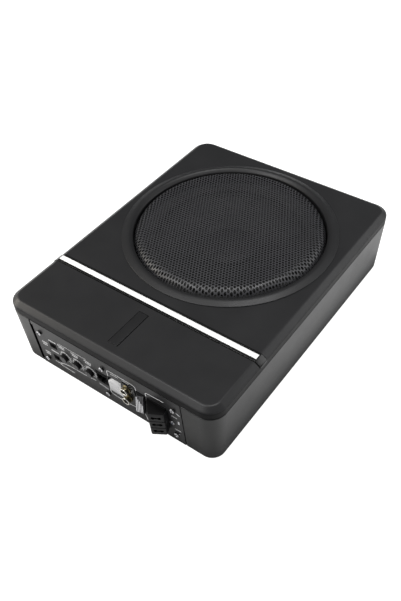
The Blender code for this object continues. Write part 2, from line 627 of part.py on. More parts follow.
def make_basket():
    lean = math.atan2(BASKET_STEP_DROP, BASKET_MOUTH - BASKET_STEP_RADIUS)
    inner_step = BASKET_STEP_RADIUS - BASKET_SHEET * math.tan(lean / 2.0)
    rise = FLANGE_TOP - STEP_LOW - BASKET_SHEET
    mouth = inner_step + rise / math.tan(lean)
    cup = BASKET_CUP_RADIUS - BASKET_SHEET
    hole = GAP_RADIUS + 1.2 * MM
    profile = [(FLANGE_RADIUS, FLANGE_TOP), (FLANGE_RADIUS, FLANGE_LOW),
               (BASKET_MOUTH, FLANGE_LOW), (BASKET_STEP_RADIUS, STEP_LOW),
               (BASKET_CUP_RADIUS, STEP_LOW), (BASKET_CUP_RADIUS, BASKET_LOW),
               (hole, BASKET_LOW), (hole, BASKET_LOW + BASKET_SHEET),
               (cup, BASKET_LOW + BASKET_SHEET), (cup, STEP_LOW + BASKET_SHEET),
               (inner_step, STEP_LOW + BASKET_SHEET), (mouth, FLANGE_TOP)]
    basket = turned("driver_basket", profile, BLACK_STEEL, centre=AXIS)
    for i in range(6):
        angle = math.radians(30.0 + 60.0 * i)
        window = block(f"basket_window_{i}", (-20.0 * MM, -15.0 * MM, STEP_LOW + WINDOW_EDGE),
                       (20.0 * MM, 15.0 * MM, FLANGE_LOW - WINDOW_EDGE))
        reach = (BASKET_MOUTH + BASKET_STEP_RADIUS) / 2.0
        window.location.x = reach * math.cos(angle)
        window.location.y = DRIVER_Y + reach * math.sin(angle)
        window.rotation_euler = (0.0, 0.0, angle)
        cut(basket, window)
    for i, (x, y) in enumerate(driver_screw_spots()):
        cut(basket, rod(f"flange_hole_{i}", SCREW_HOLE, (x, y, FLANGE_LOW - BEYOND),
                        (x, y, FLANGE_TOP + BEYOND)))


def roll_points(radius, steps):
    """Half circle between the surround's lips, from the outside in."""
    middle = (ROLL_OUTER + ROLL_INNER) / 2.0
    points = []
    for step in range(steps + 1):
        angle = math.pi * step / steps
        points.append((middle + radius * math.cos(angle), radius * math.sin(angle)))
    return points


def make_surround():
    low = FLANGE_TOP + FIT
    high = low + RUBBER
    span = (ROLL_OUTER - ROLL_INNER) / 2.0
    over = [(r, high + h) for r, h in roll_points(span + RUBBER / 2.0, 6)]
    under = [(r, low + h) for r, h in roll_points(span - RUBBER / 2.0, 6)]
    outer, inner = ROLL_OUTER + 4.5 * MM, CONE_RADIUS - CONE_RIM + 0.4 * MM
    profile = [(outer, high), (outer, low)] + under + [(inner, low), (inner, high)] + over[::-1]
    turned("surround", profile, RUBBER_BLACK, centre=AXIS)


def make_cone():
    rim = CONE_RADIUS - CONE_RIM
    low = CONE_TOP - CONE_SHEET
    neck = CONE_TOP - CONE_DEPTH
    profile = [(CONE_RADIUS, CONE_TOP), (CONE_RADIUS, low), (rim, low),
               (NECK_RADIUS, neck - CONE_SHEET), (NECK_RADIUS, neck), (rim, CONE_TOP)]
    turned("cone", profile, PULP, centre=AXIS)


def make_dust_cap():
    neck = CONE_TOP - CONE_DEPTH
    rim = neck + CONE_SLOPE * (CAP_RADIUS - NECK_RADIUS) + FIT
    sheet = 0.8 * MM

    def dome(drop):
        points = []
        for step in range(6):
            angle = math.radians(90.0 - 18.0 * step)
            points.append(((CAP_RADIUS - drop) * math.cos(angle),
                           rim + (CAP_RISE - drop) * math.sin(angle)))
        return points

    turned("dust_cap", dome(0.0) + dome(sheet)[::-1], PULP, centre=AXIS, sides=32, closed=False)


def make_spider():
    """Corrugated cloth disc between the voice coil and the basket's step."""
    inner = NECK_RADIUS
    flat = 3.0 * MM
    sheet = 0.6 * MM
    steps = SPIDER_WAVES * 2
    start, end = inner + flat, BASKET_CUP_RADIUS - BASKET_SHEET - MM
    middle = []
    for step in range(steps + 1):
        share = step / steps
        lift = SPIDER_WAVE * math.sin(math.pi * (step + 0.5))
        middle.append((start + (end - start) * share, lift))
    points = [(inner, 0.0)] + middle + [(SPIDER_RADIUS, 0.0)]
    base = SPIDER_HEIGHT
    lower = [(r, base + h) for r, h in points]
    upper = [(r, base + sheet + h) for r, h in points]
    turned("spider", lower[::-1] + upper, CLOTH, centre=AXIS, sides=28)


def make_motor():
    low = YOKE_TOP + COIL_FLOOR
    wound = low + WINDING_LENGTH
    top = CONE_TOP - CONE_DEPTH + COIL_PROUD
    winding = FORMER_OUTER + WINDING_SHEET
    turned("voice_coil", [(FORMER_OUTER, top), (FORMER_OUTER, wound), (winding, wound),
                          (winding, low), (COIL_RADIUS, low), (COIL_RADIUS, top)],
           COPPER, centre=AXIS)
    plate_low = PLATE_TOP - PLATE_THICKNESS
    turned("top_plate", [(PLATE_RADIUS, PLATE_TOP), (PLATE_RADIUS, plate_low),
                         (GAP_RADIUS, plate_low), (GAP_RADIUS, PLATE_TOP)], ZINC, centre=AXIS)
    turned("magnet", [(MAGNET_RADIUS, MAGNET_TOP), (MAGNET_RADIUS, MAGNET_TOP - MAGNET_THICKNESS),
                      (MAGNET_BORE, MAGNET_TOP - MAGNET_THICKNESS), (MAGNET_BORE, MAGNET_TOP)],
           FERRITE, centre=AXIS)
    turned("pole_yoke", [(POLE_RADIUS, PLATE_TOP), (POLE_RADIUS, YOKE_TOP),
                         (YOKE_RADIUS, YOKE_TOP), (YOKE_RADIUS, YOKE_TOP - PLATE_THICKNESS),
                         (VENT_RADIUS, YOKE_TOP - PLATE_THICKNESS), (VENT_RADIUS, PLATE_TOP)],
           ZINC, centre=AXIS)


TERMINAL_REACH = 53.0 * MM
TERMINAL_HEIGHT = 6.0 * MM


def make_terminal_and_lead():
    """Tag block under the basket's step, and the two-core lead from it to the main board."""
    y = DRIVER_Y - TERMINAL_REACH
    top = STEP_LOW - FIT
    low = top - TERMINAL_HEIGHT
    block("driver_terminal", (-7.0 * MM, y - 4.0 * MM, low), (7.0 * MM, y + 4.0 * MM, top),
          BLACK_PLASTIC)
    start = Vector((0.0, y - 4.0 * MM - FIT, (low + top) / 2.0))
    board_top = FLOOR_TOP + STANDOFF_HEIGHT + FIT + BOARD_THICKNESS
    end = Vector((0.0, BOARD_CENTRE[1] + BOARD_SIZE[1] / 2.0 - 12.0 * MM, board_top + FIT))
    reach = start.y - end.y
    curve = bpy.data.curves.new("speaker_lead", "CURVE")
    curve.dimensions = "3D"
    curve.bevel_depth = LEAD_RADIUS
    curve.bevel_resolution = 2
    curve.use_fill_caps = True
    spline = curve.splines.new("POLY")
    spline.points.add(LEAD_STEPS)
    leave, arrive = Vector((0.0, -0.6 * reach, 0.0)), Vector((0.0, 0.0, 0.8 * (start.z - end.z)))
    for i, point in enumerate(spline.points):
        t = i / LEAD_STEPS
        spot = (start * (1 - t) ** 3 + (start + leave) * 3 * t * (1 - t) ** 2
                + (end + arrive) * 3 * t ** 2 * (1 - t) + end * t ** 3)
        point.co = (*spot, 1.0)
    place(bpy.data.objects.new("speaker_lead", curve), look=RUBBER_BLACK)


# ---------------------------------------------------------------- amplifier and controls

def make_boards():
    low = FLOOR_TOP + STANDOFF_HEIGHT + FIT
    top = low + BOARD_THICKNESS
    half_x, half_y = BOARD_SIZE[0] / 2.0, BOARD_SIZE[1] / 2.0
    x, y = BOARD_CENTRE
    block("main_board", (x - half_x, y - half_y, low), (x + half_x, y + half_y, top), BOARD_GREEN)
    span = (WINDOW[0] + MM, WINDOW[1] - 4.0 * MM, WINDOW[2], WINDOW[3])
    panel_block("control_board", span, -BOARD_SETBACK - BOARD_THICKNESS, -BOARD_SETBACK,
                BOARD_GREEN)
    radius, height = CAPACITOR
    left, right, back = x - 28.0 * MM, x + 38.0 * MM, y + 6.0 * MM
    rod("capacitor", radius, (left, back, top + FIT), (left, back, top + FIT + height),
        BLACK_PLASTIC, sides=MIDDLING)
    core, wire = TRANSFORMER
    profile = []
    for step in range(6):
        angle = -2.0 * math.pi * step / 6
        profile.append((core + wire * math.cos(angle), top + FIT + wire + wire * math.sin(angle)))
    turned("transformer", profile, COPPER, centre=(right, back), sides=16)


def make_panel():
    panel = panel_block("control_panel", PANEL_SPAN, -PANEL_THICKNESS, 0.0, LID_PAINT)
    deep = -PANEL_THICKNESS - BEYOND
    cut_outs = {"remote": REMOTE_BOX, "input": INPUT_BOX, "rca": RCA_BOX, "multi": MULTI_BOX,
                "power": POWER_SPAN}
    for name, span in cut_outs.items():
        cut(panel, panel_block(f"{name}_cut_out", grown(span, FIT), deep, BEYOND))
    for i, height in enumerate(SWITCH_ROWS):
        cut(panel, panel_block(f"switch_cut_out_{i}", centred((SWITCH_X, height), SWITCH_HOLE),
                               deep, BEYOND))
    for i, spot in enumerate(KNOB_SPOTS):
        cut(panel, panel_rod(f"shaft_hole_{i}", SHAFT_RADIUS + 0.7 * MM, spot, deep, BEYOND))
    for i, spot in enumerate(SCREW_SPOTS):
        cut(panel, panel_rod(f"screw_hole_{i}", SCREW_HOLE, spot, deep, BEYOND))
    cut(panel, panel_rod("led_hole", LED_RADIUS + FIT, LED_SPOT, deep, BEYOND))


def make_knobs():
    names = ("level_knob", "filter_knob", "bass_knob")
    for i, (name, spot) in enumerate(zip(names, KNOB_SPOTS)):
        pot = panel_block(f"pot_{i + 1}", centred(spot, POT_SIZE), BOARD_FACE, PANEL_BACK,
                          BLACK_PLASTIC)
        join(pot, panel_rod(f"shaft_{i}", SHAFT_RADIUS, spot, PANEL_BACK - BEYOND, SHAFT_REACH))
        bore, end = SHAFT_RADIUS + 0.35 * MM, SHAFT_REACH + FIT
        face = KNOB_LENGTH
        profile = [(0.0, face), (KNOB_RADIUS - 0.5 * MM, face), (KNOB_RADIUS, face - 0.6 * MM),
                   (KNOB_RADIUS, FIT), (bore, FIT), (bore, end), (0.0, end)]
        panel_turned(name, profile, spot, BLACK_PLASTIC)


def make_switches():
    well = (SLIDER_SIZE[0] + SLIDER_TRAVEL + 2.0 * FIT, SLIDER_SIZE[1] + 2.0 * FIT)
    floor = PANEL_BACK - SWITCH_WELL
    for name, height in zip(("phase", "input"), SWITCH_ROWS):
        spot = (SWITCH_X, height)
        body = panel_block(f"{name}_switch", centred(spot, SWITCH_BODY), BOARD_FACE, PANEL_BACK,
                           BLACK_PLASTIC)
        cut(body, panel_block(f"{name}_well", centred(spot, well), floor, 0.0))
        slider_spot = (SWITCH_X - SLIDER_TRAVEL / 2.0, height)
        panel_block(f"{name}_slider", centred(slider_spot, SLIDER_SIZE), floor + FIT,
                    SLIDER_PROUD, BLACK_PLASTIC)


def make_sockets():
    remote = panel_block("remote_socket", REMOTE_BOX, BOARD_FACE, FIT, BLACK_PLASTIC)
    middle = ((REMOTE_BOX[0] + REMOTE_BOX[1]) / 2.0, (REMOTE_BOX[2] + REMOTE_BOX[3]) / 2.0)
    cut(remote, panel_block("remote_bore", centred(middle, REMOTE_BORE[:2]),
                            FIT - REMOTE_BORE[2], FIT + BEYOND))
    left, right, bottom, top = INPUT_BOX
    depth = INPUT_PROUD - BOARD_FACE
    outline = [(left, bottom), (right, bottom), (right, top), (left + INPUT_CORNER, top),
               (left, top - INPUT_CORNER)]
    body = extruded("speaker_input", outline, depth, WHITE_NYLON, panel_frame)
    body.rotation_euler = (math.pi / 2.0, 0.0, 0.0)
    body.location = (0.0, -(BOARD_FACE + INPUT_PROUD) / 2.0, 0.0)
    panel_block("rca_block", RCA_BOX, BOARD_FACE, RCA_PROUD, BLACK_PLASTIC)
    for name, height in zip(("rca_jack_upper", "rca_jack_lower"), RCA_ROWS):
        back, front = RCA_PROUD + FIT, RCA_PROUD + RCA_LENGTH
        floor = back + RCA_FLOOR
        profile = [(0.0, floor), (RCA_BORE, floor), (RCA_BORE, front), (RCA_RADIUS, front),
                   (RCA_RADIUS, back), (0.0, back)]
        panel_turned(name, profile, (RCA_X, height), NICKEL)
    panel_block("multi_pin_socket", MULTI_BOX, BOARD_FACE, MULTI_PROUD, WHITE_NYLON)
    panel_rod("power_led", LED_RADIUS, LED_SPOT, BOARD_FACE, LED_PROUD, LENS)


def make_power():
    header = panel_block("power_socket", POWER_SPAN, BOARD_FACE, SOCKET_PROUD, BLACK_PLASTIC)
    tongue = centred(POWER_CENTRE, POWER_TONGUE[:2])
    cut(header, panel_block("power_well", grown(tongue, FIT), -POWER_TONGUE[2] - FIT,
                            SOCKET_PROUD + BEYOND))
    back = SOCKET_PROUD + FIT
    top = POWER_CENTRE[1] + 1.5 * PLUG_PITCH
    corner = PLUG_LEFT + PLUG_REACH - back
    face = PLUG_RIGHT - corner
    outline = [(PLUG_LEFT, back), (corner, PLUG_REACH), (PLUG_RIGHT, PLUG_REACH - face),
               (PLUG_RIGHT, back)]
    plug = extruded("power_plug", outline[::-1], 3.0 * PLUG_PITCH, BLACK_PLASTIC, panel_frame)
    plug.location = (0.0, 0.0, POWER_CENTRE[1])
    plug.rotation_euler = (math.pi, 0.0, 0.0)
    join(plug, panel_block("plug_tongue", tongue, -POWER_TONGUE[2], back + BEYOND))
    middle_x, middle_y = (corner + PLUG_RIGHT) / 2.0, PLUG_REACH - face / 2.0
    for i in range(3):
        height = top - (i + 0.5) * PLUG_PITCH
        half = Vector(PLUG_SLOT) / 2.0
        slot = block(f"wire_slot_{i}", (-half.x, -PLUG_SLOT[2], -half.y),
                     (half.x, PLUG_SLOT[2], half.y), None, panel_frame)
        slot.location = (middle_x, -middle_y, height)
        slot.rotation_euler = (0.0, 0.0, math.radians(45.0))
        cut(plug, slot)
    for i in range(2):
        height = top - (i + 1) * PLUG_PITCH
        half = Vector(PLUG_GROOVE) / 2.0
        groove = block(f"plug_groove_{i}", -half, half, None, panel_frame)
        groove.location = (middle_x, -middle_y, height)
        groove.rotation_euler = (0.0, 0.0, math.radians(45.0))
        cut(plug, groove)


def centre_unit():
    """Move everything back by half of what the plug adds to the length of the case."""
    top = POWER_CENTRE[1] + 1.5 * PLUG_PITCH
    reach = PLUG_REACH * math.cos(TILT) + top * math.sin(TILT)
    for thing in bpy.data.objects:
        if thing.parent is None:
            thing.location.y += reach / 2.0


make_case()
make_lid()
make_trim()
make_grille(make_ring())
make_fasteners()
make_basket()
make_surround()
make_cone()
make_dust_cap()
make_spider()
make_motor()
make_terminal_and_lead()
make_boards()
make_panel()
make_knobs()
make_switches()
make_sockets()
make_power()
centre_unit()
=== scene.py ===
# %% [markdown]
# # A flat powered subwoofer, finished piece by piece
# The solid model gives the sizes and the joints. This lesson gives it its looks: smooth castings,
# a really perforated grille, printed marks, plated jacks and moulded plastics. Every cell makes
# one thing and says how large it came out.

# %% Load the frame
import math

import bmesh
import bpy
import numpy as np
from mathutils import Matrix, Vector


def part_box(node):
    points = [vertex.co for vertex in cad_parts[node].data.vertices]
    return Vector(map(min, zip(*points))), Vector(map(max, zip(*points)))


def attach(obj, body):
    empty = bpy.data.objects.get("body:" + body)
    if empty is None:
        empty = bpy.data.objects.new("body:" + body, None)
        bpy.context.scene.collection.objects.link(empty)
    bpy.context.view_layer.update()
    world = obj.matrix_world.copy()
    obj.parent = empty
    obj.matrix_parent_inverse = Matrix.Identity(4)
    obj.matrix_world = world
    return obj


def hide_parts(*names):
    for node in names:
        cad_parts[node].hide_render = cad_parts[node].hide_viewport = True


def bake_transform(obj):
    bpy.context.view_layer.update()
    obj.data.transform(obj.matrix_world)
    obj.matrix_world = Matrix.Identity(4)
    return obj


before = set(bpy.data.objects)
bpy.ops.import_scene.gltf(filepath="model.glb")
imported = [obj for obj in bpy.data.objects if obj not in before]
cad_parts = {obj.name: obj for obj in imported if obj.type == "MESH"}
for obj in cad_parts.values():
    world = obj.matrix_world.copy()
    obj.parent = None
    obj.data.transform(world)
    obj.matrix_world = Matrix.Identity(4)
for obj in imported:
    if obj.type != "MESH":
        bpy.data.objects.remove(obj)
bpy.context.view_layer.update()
MM = 0.001


def mm(*values):
    """Millimetres to metres, as an array."""
    return np.array(values, float) * MM


# %% [markdown]
# ## Places taken from the solids
# A piece has to sit exactly where its solid sits, so heights and edges are read from the boxes
# of the solids instead of being typed again. Only sizes that no box shows are written here.

# %% Measure the solids
case_low, case_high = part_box("lower_case")
lid_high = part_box("top_cover")[1]
HALF_X = case_high.x
HALF_Y = (case_high.y - case_low.y) / 2
MID_Y = (case_high.y + case_low.y) / 2
UNDER, SEAM, TOP = case_low.z, case_high.z + 0.3 * MM, lid_high.z
LEAN = 0.06                       # inward lean of the walls for each unit of depth
CORNER = 17.6 * MM                # radius of the upright corners
grille_low, grille_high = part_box("grille")
AXIS = np.array([0.0, (grille_low.y + grille_high.y) / 2])    # middle of the woofer, from above


def middle_of(node):
    """Middle of a node's box."""
    low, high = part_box(node)
    return (low + high) / 2


print(f"case {2e3 * HALF_X:.1f} x {2e3 * HALF_Y:.1f} mm,",
      f"seam {1e3 * SEAM:.1f}, top {1e3 * TOP:.1f}")

# %% [markdown]
# ## The camera
# A product portrait like this is taken from above the front right corner, with a lens a little
# longer than normal. Three angles fix where the camera looks: the azimuth from the front, the
# elevation above the floor and a small roll. The three axes of the camera follow from them.

# %% Set up the camera
AZIMUTH, ELEVATION, ROLL = np.radians([38.51, 45.51, -3.474])
back = np.array([np.sin(AZIMUTH) * np.cos(ELEVATION), -np.cos(AZIMUTH) * np.cos(ELEVATION),
                 np.sin(ELEVATION)])
level = np.array([np.cos(AZIMUTH), np.sin(AZIMUTH), 0.0])
upright = np.cross(back, level)
side = level * np.cos(ROLL) + upright * np.sin(ROLL)
rise = upright * np.cos(ROLL) - level * np.sin(ROLL)
lens = bpy.data.cameras.new("portrait")
lens.lens, lens.sensor_width, lens.sensor_fit = 43.04, 36.0, "AUTO"
lens.clip_start = 0.01
camera = bpy.data.objects.new("portrait", lens)
bpy.context.scene.collection.objects.link(camera)
camera.matrix_world = Matrix(np.column_stack([side, rise, back]).tolist()).to_4x4()
camera.location = (0.3333, -0.4360 + MID_Y, 0.5656)
bpy.context.scene.camera = camera
print("camera", [round(v, 3) for v in camera.location])

# %% [markdown]
# ## Shader maths
# A finish is a short formula over the surface: noise picks a shade, another noise breaks the
# gloss, a fine one lifts a grain. A small class lets such formulas be written as formulas. It
# wraps one socket, and each sign between two of them adds the node that does that sum.

# %% A socket that can be added and multiplied
class Signal:
    """One output socket of a shader, with arithmetic."""

    def __init__(self, finish, socket):
        self.finish, self.socket = finish, socket

    def _math(self, operation, first, second):
        return self.finish.node("Math", {"operation": operation}, {0: first, 1: second})

    def __add__(self, other):
        return self._math("ADD", self, other)

    def __radd__(self, other):
        return self._math("ADD", other, self)

    def __sub__(self, other):
        return self._math("SUBTRACT", self, other)

    def __rsub__(self, other):
        return self._math("SUBTRACT", other, self)

    def __mul__(self, other):
        return self._math("MULTIPLY", self, other)

    def __rmul__(self, other):
        return self._math("MULTIPLY", other, self)


print("a signal takes part in sums:", "+ - *")

# %% [markdown]
# A finish owns one material. Its one method for nodes takes a type, then the settings, then
# what goes into the sockets, which may be numbers or signals. The few patterns that every
# finish uses stand beside it: noise, a stretched noise for brushed metal, and a bump.

# %% A material built from formulas
class Finish:
    """A Principled material whose changing values are signals."""

    def __init__(self, name, colour, roughness, metallic=0.0, **plain):
        self.material = bpy.data.materials.new(name)
        self.material.use_nodes = True
        self.tree = self.material.node_tree
        self.shader = self.tree.nodes["Principled BSDF"]
        for socket, value in plain.items():
            self.shader.inputs[socket.replace("_", " ")].default_value = value
        self.place = self.node("TexCoord", {}, {}, "Object")
        self.feed("Metallic", metallic)
        self.feed("Roughness", roughness)
        self.feed("Base Color", colour)

    def node(self, kind, settings, inputs, output=0):
        made = self.tree.nodes.new("ShaderNode" + kind)
        stops = settings.pop("stops", None)
        for key, value in settings.items():
            setattr(made, key, value)
        if stops:
            for i, (at, shade) in enumerate(stops):
                point = made.color_ramp.elements[i] if i < 2 else made.color_ramp.elements.new(at)
                point.position, point.color = at, (*shade, 1.0)
        for key, value in inputs.items():
            self.join(value, made.inputs[key])
        return Signal(self, made.outputs[output])

    def join(self, value, socket):
        if isinstance(value, Signal):
            self.tree.links.new(value.socket, socket)
        elif isinstance(value, tuple) and socket.type == "RGBA":
            socket.default_value = (*value, 1.0)
        else:
            socket.default_value = value

    def feed(self, socket, value):
        """Give a shader socket a number, a colour, or what a formula of this finish makes."""
        self.join(value(self) if callable(value) else value, self.shader.inputs[socket])

    def noise(self, size, detail=2.0, stretch=(1.0, 1.0, 1.0)):
        """Noise between 0 and 1 whose grains are about size metres, longer where stretched."""
        spot = self.node("Mapping", {}, {"Vector": self.place,
                                         "Scale": tuple(1.0 / s for s in stretch)})
        return self.node("TexNoise", {}, {"Vector": spot, "Scale": 1.0 / size, "Detail": detail})

    def between(self, dark, light, share):
        """Colour mixed by a signal from one shade to another."""
        return self.node("Mix", {"data_type": "RGBA"}, {0: share, 6: dark, 7: light}, 2)

    def sharpen(self, signal, low, high):
        """The signal stretched so that low becomes 0 and high becomes 1."""
        return self.node("MapRange", {}, {"Value": signal, "From Min": low, "From Max": high})

    def bump(self, height, depth, strength=1.0):
        """Lift the surface by a height formula; depth is in metres."""
        lift = self.node("Bump", {}, {"Height": height(self), "Distance": depth,
                                      "Strength": strength})
        self.feed("Normal", lift)
        return self


print("finishes made so far:", len(bpy.data.materials))

# %% [markdown]
# ## Light
# Black goods are lit by what they reflect. The floor is a lit white sweep, so the walls, which
# mirror the floor, get their sheen from it. The room above is dim and keeps the flat lid deep,
# and it is white only where the camera sees it directly. Two high suns whiten the strip and the
# print, one low sun at the front left gives the small shadows that fall to the right of each
# knob, and two soft boxes draw light along the chamfers.

# %% Room and lamps
def put_light(name, kind, energy, place=(0, 0, 1), towards=(0, 0, 0), **settings):
    """Light at a place that shines towards a point."""
    made = bpy.data.lights.new(name, kind)
    made.energy = energy
    for key, value in settings.items():
        setattr(made, key, value)
    holder = bpy.data.objects.new(name, made)
    bpy.context.scene.collection.objects.link(holder)
    holder.location = place
    holder.rotation_euler = (Vector(towards) - Vector(place)).to_track_quat("-Z", "Y").to_euler()
    return holder


room = bpy.data.worlds.new("room")
bpy.context.scene.world = room
room.use_nodes = True
tree = room.node_tree
seen, lit = tree.nodes.new("ShaderNodeBackground"), tree.nodes["Background"]    # white, and dim
seen.inputs[0].default_value, seen.inputs[1].default_value = (1, 1, 1, 1), 1.1
lit.inputs[0].default_value, lit.inputs[1].default_value = (0.95, 0.97, 1.0, 1), 0.18
chooser, rays = tree.nodes.new("ShaderNodeMixShader"), tree.nodes.new("ShaderNodeLightPath")
tree.links.new(rays.outputs["Is Camera Ray"], chooser.inputs[0])
tree.links.new(lit.outputs[0], chooser.inputs[1])
tree.links.new(seen.outputs[0], chooser.inputs[2])
tree.links.new(chooser.outputs[0], tree.nodes["World Output"].inputs[0])
put_light("high_sun", "SUN", 1.5, (0.10, 0.15, 1.0), angle=math.radians(18))
put_light("front_sun", "SUN", 1.5, (-0.35, -0.45, 1.0), angle=math.radians(18))
put_light("low_sun", "SUN", 0.6, (-0.9, -0.75, 0.12), angle=math.radians(12))
put_light("soft_box_left", "AREA", 1.25, (-0.45, -0.27, 0.28), (-0.12, -0.15, 0.07), size=0.2,
          color=(1.0, 0.94, 0.84))
put_light("soft_box_right", "AREA", 3.6, (0.75, 0.70, 0.55), (0.1, 0.1, 0.05), size=0.6)
bpy.context.scene.view_settings.view_transform = "Standard"
print("lamps:", len(bpy.data.lights))

# %% [markdown]
# ## The floor
# The floor is white to the camera. The light that it gives to the walls is worked out apart
# from that: it grows towards the left and towards the far right, and it fades close to the
# case, where a real floor lies in shade. A smooth step along a signal gives each of these.

# %% The floor and its glow
floor_mesh = bpy.data.meshes.new("floor")
floor_mesh.from_pydata([(-4, -4, 0), (4, -4, 0), (4, 4, 0), (-4, 4, 0)], [], [(0, 1, 2, 3)])
floor = bpy.data.objects.new("floor", floor_mesh)
bpy.context.scene.collection.objects.link(floor)
paper = Finish("studio_paper", (0.3, 0.3, 0.3), 0.95, Emission_Strength=1.0)


def glow(across, start, end, strength):
    """Light that grows smoothly over the floor, from one place along a signal to another."""
    return paper.node("MapRange", {"interpolation_type": "SMOOTHSTEP"},
                      {"Value": across, "From Min": start, "From Max": end, "To Min": 0.0,
                       "To Max": strength})


def vector(operation, *values, output=0):
    """Vector Math on the floor's signals."""
    return paper.node("VectorMath", {"operation": operation}, dict(enumerate(values)), output)


x, y = (paper.node("SeparateXYZ", {}, {0: paper.place}, axis) for axis in "XY")
open_floor = glow(x, 0.06, -0.22, 0.66) + glow(x + y * 0.6, 0.0, 0.2, 0.85) + 0.21
from_middle = vector("SUBTRACT", paper.place, (0.0, MID_Y, 0.0))
past_wall = vector("SUBTRACT", vector("ABSOLUTE", from_middle), (HALF_X, HALF_Y, 0.0))
gap = vector("LENGTH", vector("MAXIMUM", past_wall, (0.0, 0.0, 0.0)), output="Value")
given = open_floor * (1 - glow(gap, 0.02, -0.004, 1.0))
seen_directly = paper.node("LightPath", {}, {}, "Is Camera Ray")
paper.feed("Emission Color", paper.node("Math", {"operation": "MAXIMUM"},
                                        {0: given, 1: seen_directly}))
floor_mesh.materials.append(paper.material)
print("floor:", [round(side) for side in floor.dimensions], "m")

# %% [markdown]
# ## Painted and coated metal
# The tray is cast and powder coated: a fine orange peel, slightly lighter and warmer than the
# lid. The lid is smoother and darker. Both carry faint handling marks, which show as patches
# of changed gloss rather than changed colour. The collar shares the lid's coat. The panel, the
# badge and the grille each have their own depth of black; a darker coat paints shade on the skirt.

# %% Coats
def coat(name, dark, light, gloss, peel, depth, mirror):
    """Coated metal: shade and gloss drift over centimetres, and the peel is a fine bump."""
    made = Finish(name, lambda f: f.between(dark, light, f.sharpen(f.noise(0.05, 3.0), 0.3, 0.7)),
                  lambda f: gloss + 0.10 * f.noise(0.018, 4.0) + 0.05 * f.noise(0.0011),
                  0.0, Specular_IOR_Level=mirror)
    return made.bump(lambda f: f.noise(peel, 3.0) * 0.7 + f.noise(peel * 0.32, 2.0) * 0.3,
                     depth, 0.55)


tray_coat = coat("tray_powder_coat", (0.019, 0.0195, 0.0195), (0.025, 0.025, 0.0245),
                 0.34, 0.0012, 0.00012, 0.40)
lid_coat = coat("lid_coat", (0.0118, 0.0118, 0.0125), (0.0154, 0.0154, 0.0161),
                0.36, 0.0007, 0.00005, 0.30)
panel_coat = coat("panel_coat", (0.018, 0.018, 0.019), (0.023, 0.023, 0.024),
                  0.34, 0.0008, 0.00006, 0.40)
badge_coat = coat("badge_coat", (0.0065, 0.0065, 0.0070), (0.0090, 0.0090, 0.0096),
                  0.34, 0.0006, 0.00003, 0.35)
grille_coat = coat("grille_coat", (0.023, 0.023, 0.026), (0.032, 0.032, 0.035),
                   0.40, 0.0009, 0.00004, 0.6)
# Painted shade: a darker, duller coat for the lid's upright skirt.
skirt_painted_shade_coat = coat("skirt_painted_shade_coat", (0.0050, 0.0050, 0.0053), (0.0070, 0.0070, 0.0074),
                  0.44, 0.0007, 0.00005, 0.11)
print("coats:", [m.name for m in bpy.data.materials if "coat" in m.name])

# %% [markdown]
# ## Bare metal
# The strip is drawn and brushed along its length, so its noise is stretched along X. Plated
# jacks and screws are smoother, with small spots of dulled plating. The enamelled copper of the
# windings is clouded in the same way, and the ferrite magnet is a matt grey stone.

# %% Metals
def brushed(name, shade, gloss, along, metallic=1.0):
    """Brushed metal: noise stretched many times along the direction of the brush."""
    streaks = tuple(60.0 if axis == along else 1.0 for axis in "XYZ")
    made = Finish(name, lambda f: f.between(tuple(0.86 * c for c in shade), shade,
                                            f.noise(0.0006, 3.0, streaks)),
                  lambda f: gloss + 0.14 * f.noise(0.0004, 2.0, streaks), metallic)
    return made.bump(lambda f: f.noise(0.0003, 2.0, streaks), 0.00002, 0.4)


def plated(name, shade, gloss, dulled):
    """Plated metal with small clouds where the plating has dulled."""
    made = Finish(name, lambda f: f.between(shade, dulled,
                                            f.sharpen(f.noise(0.004, 4.0), 0.5, 0.8)),
                  lambda f: gloss + 0.18 * f.noise(0.002, 3.0), 1.0)
    return made.bump(lambda f: f.noise(0.0006), 0.00002, 0.3)


silver = brushed("satin_silver", (0.95, 0.95, 0.94), 0.50, "X", 0.25)
nickel = plated("nickel_plate", (0.84, 0.82, 0.76), 0.16, (0.62, 0.58, 0.48))
zinc = plated("zinc_plate", (0.62, 0.62, 0.64), 0.26, (0.42, 0.42, 0.44))
aged_brass = plated("aged_brass", (0.10, 0.085, 0.05), 0.24, (0.32, 0.26, 0.13))
gold = plated("gold_flash", (0.88, 0.66, 0.30), 0.18, (0.62, 0.45, 0.2))
copper = plated("enamelled_copper", (0.62, 0.27, 0.12), 0.3, (0.42, 0.17, 0.07))
black_oxide = plated("black_oxide", (0.05, 0.05, 0.05), 0.28, (0.10, 0.10, 0.10))
ferrite = Finish("ferrite", lambda f: f.between((0.045, 0.045, 0.05), (0.075, 0.075, 0.08),
                                                f.noise(0.0012, 5.0)),
                 lambda f: 0.62 + 0.2 * f.noise(0.003, 3.0))
ferrite.bump(lambda f: f.noise(0.0006, 4.0), 0.00008)
print("finishes so far:", len(bpy.data.materials) - 1)

# %% [markdown]
# ## Plastics, rubber, paper and cloth
# Moulded plastic has a low even grain and softer patches of gloss. Rubber is matt with a dusty
# bloom. The cone is pressed from paper fibres, so its noise is tangled, with many fine layers.
# The cloth of the spider is woven, and two crossed waves make its threads.

# %% Moulded plastics and print
def moulded(name, dark, light, gloss, grain=0.0005, depth=0.00003, **plain):
    """Moulded plastic: even colour with slow drift, and a fine tool grain."""
    made = Finish(name, lambda f: f.between(dark, light, f.noise(0.012, 3.0)),
                  lambda f: gloss + 0.12 * f.noise(0.006, 3.0), 0.0, **plain)
    return made.bump(lambda f: f.noise(grain, 3.0), depth, 0.5)


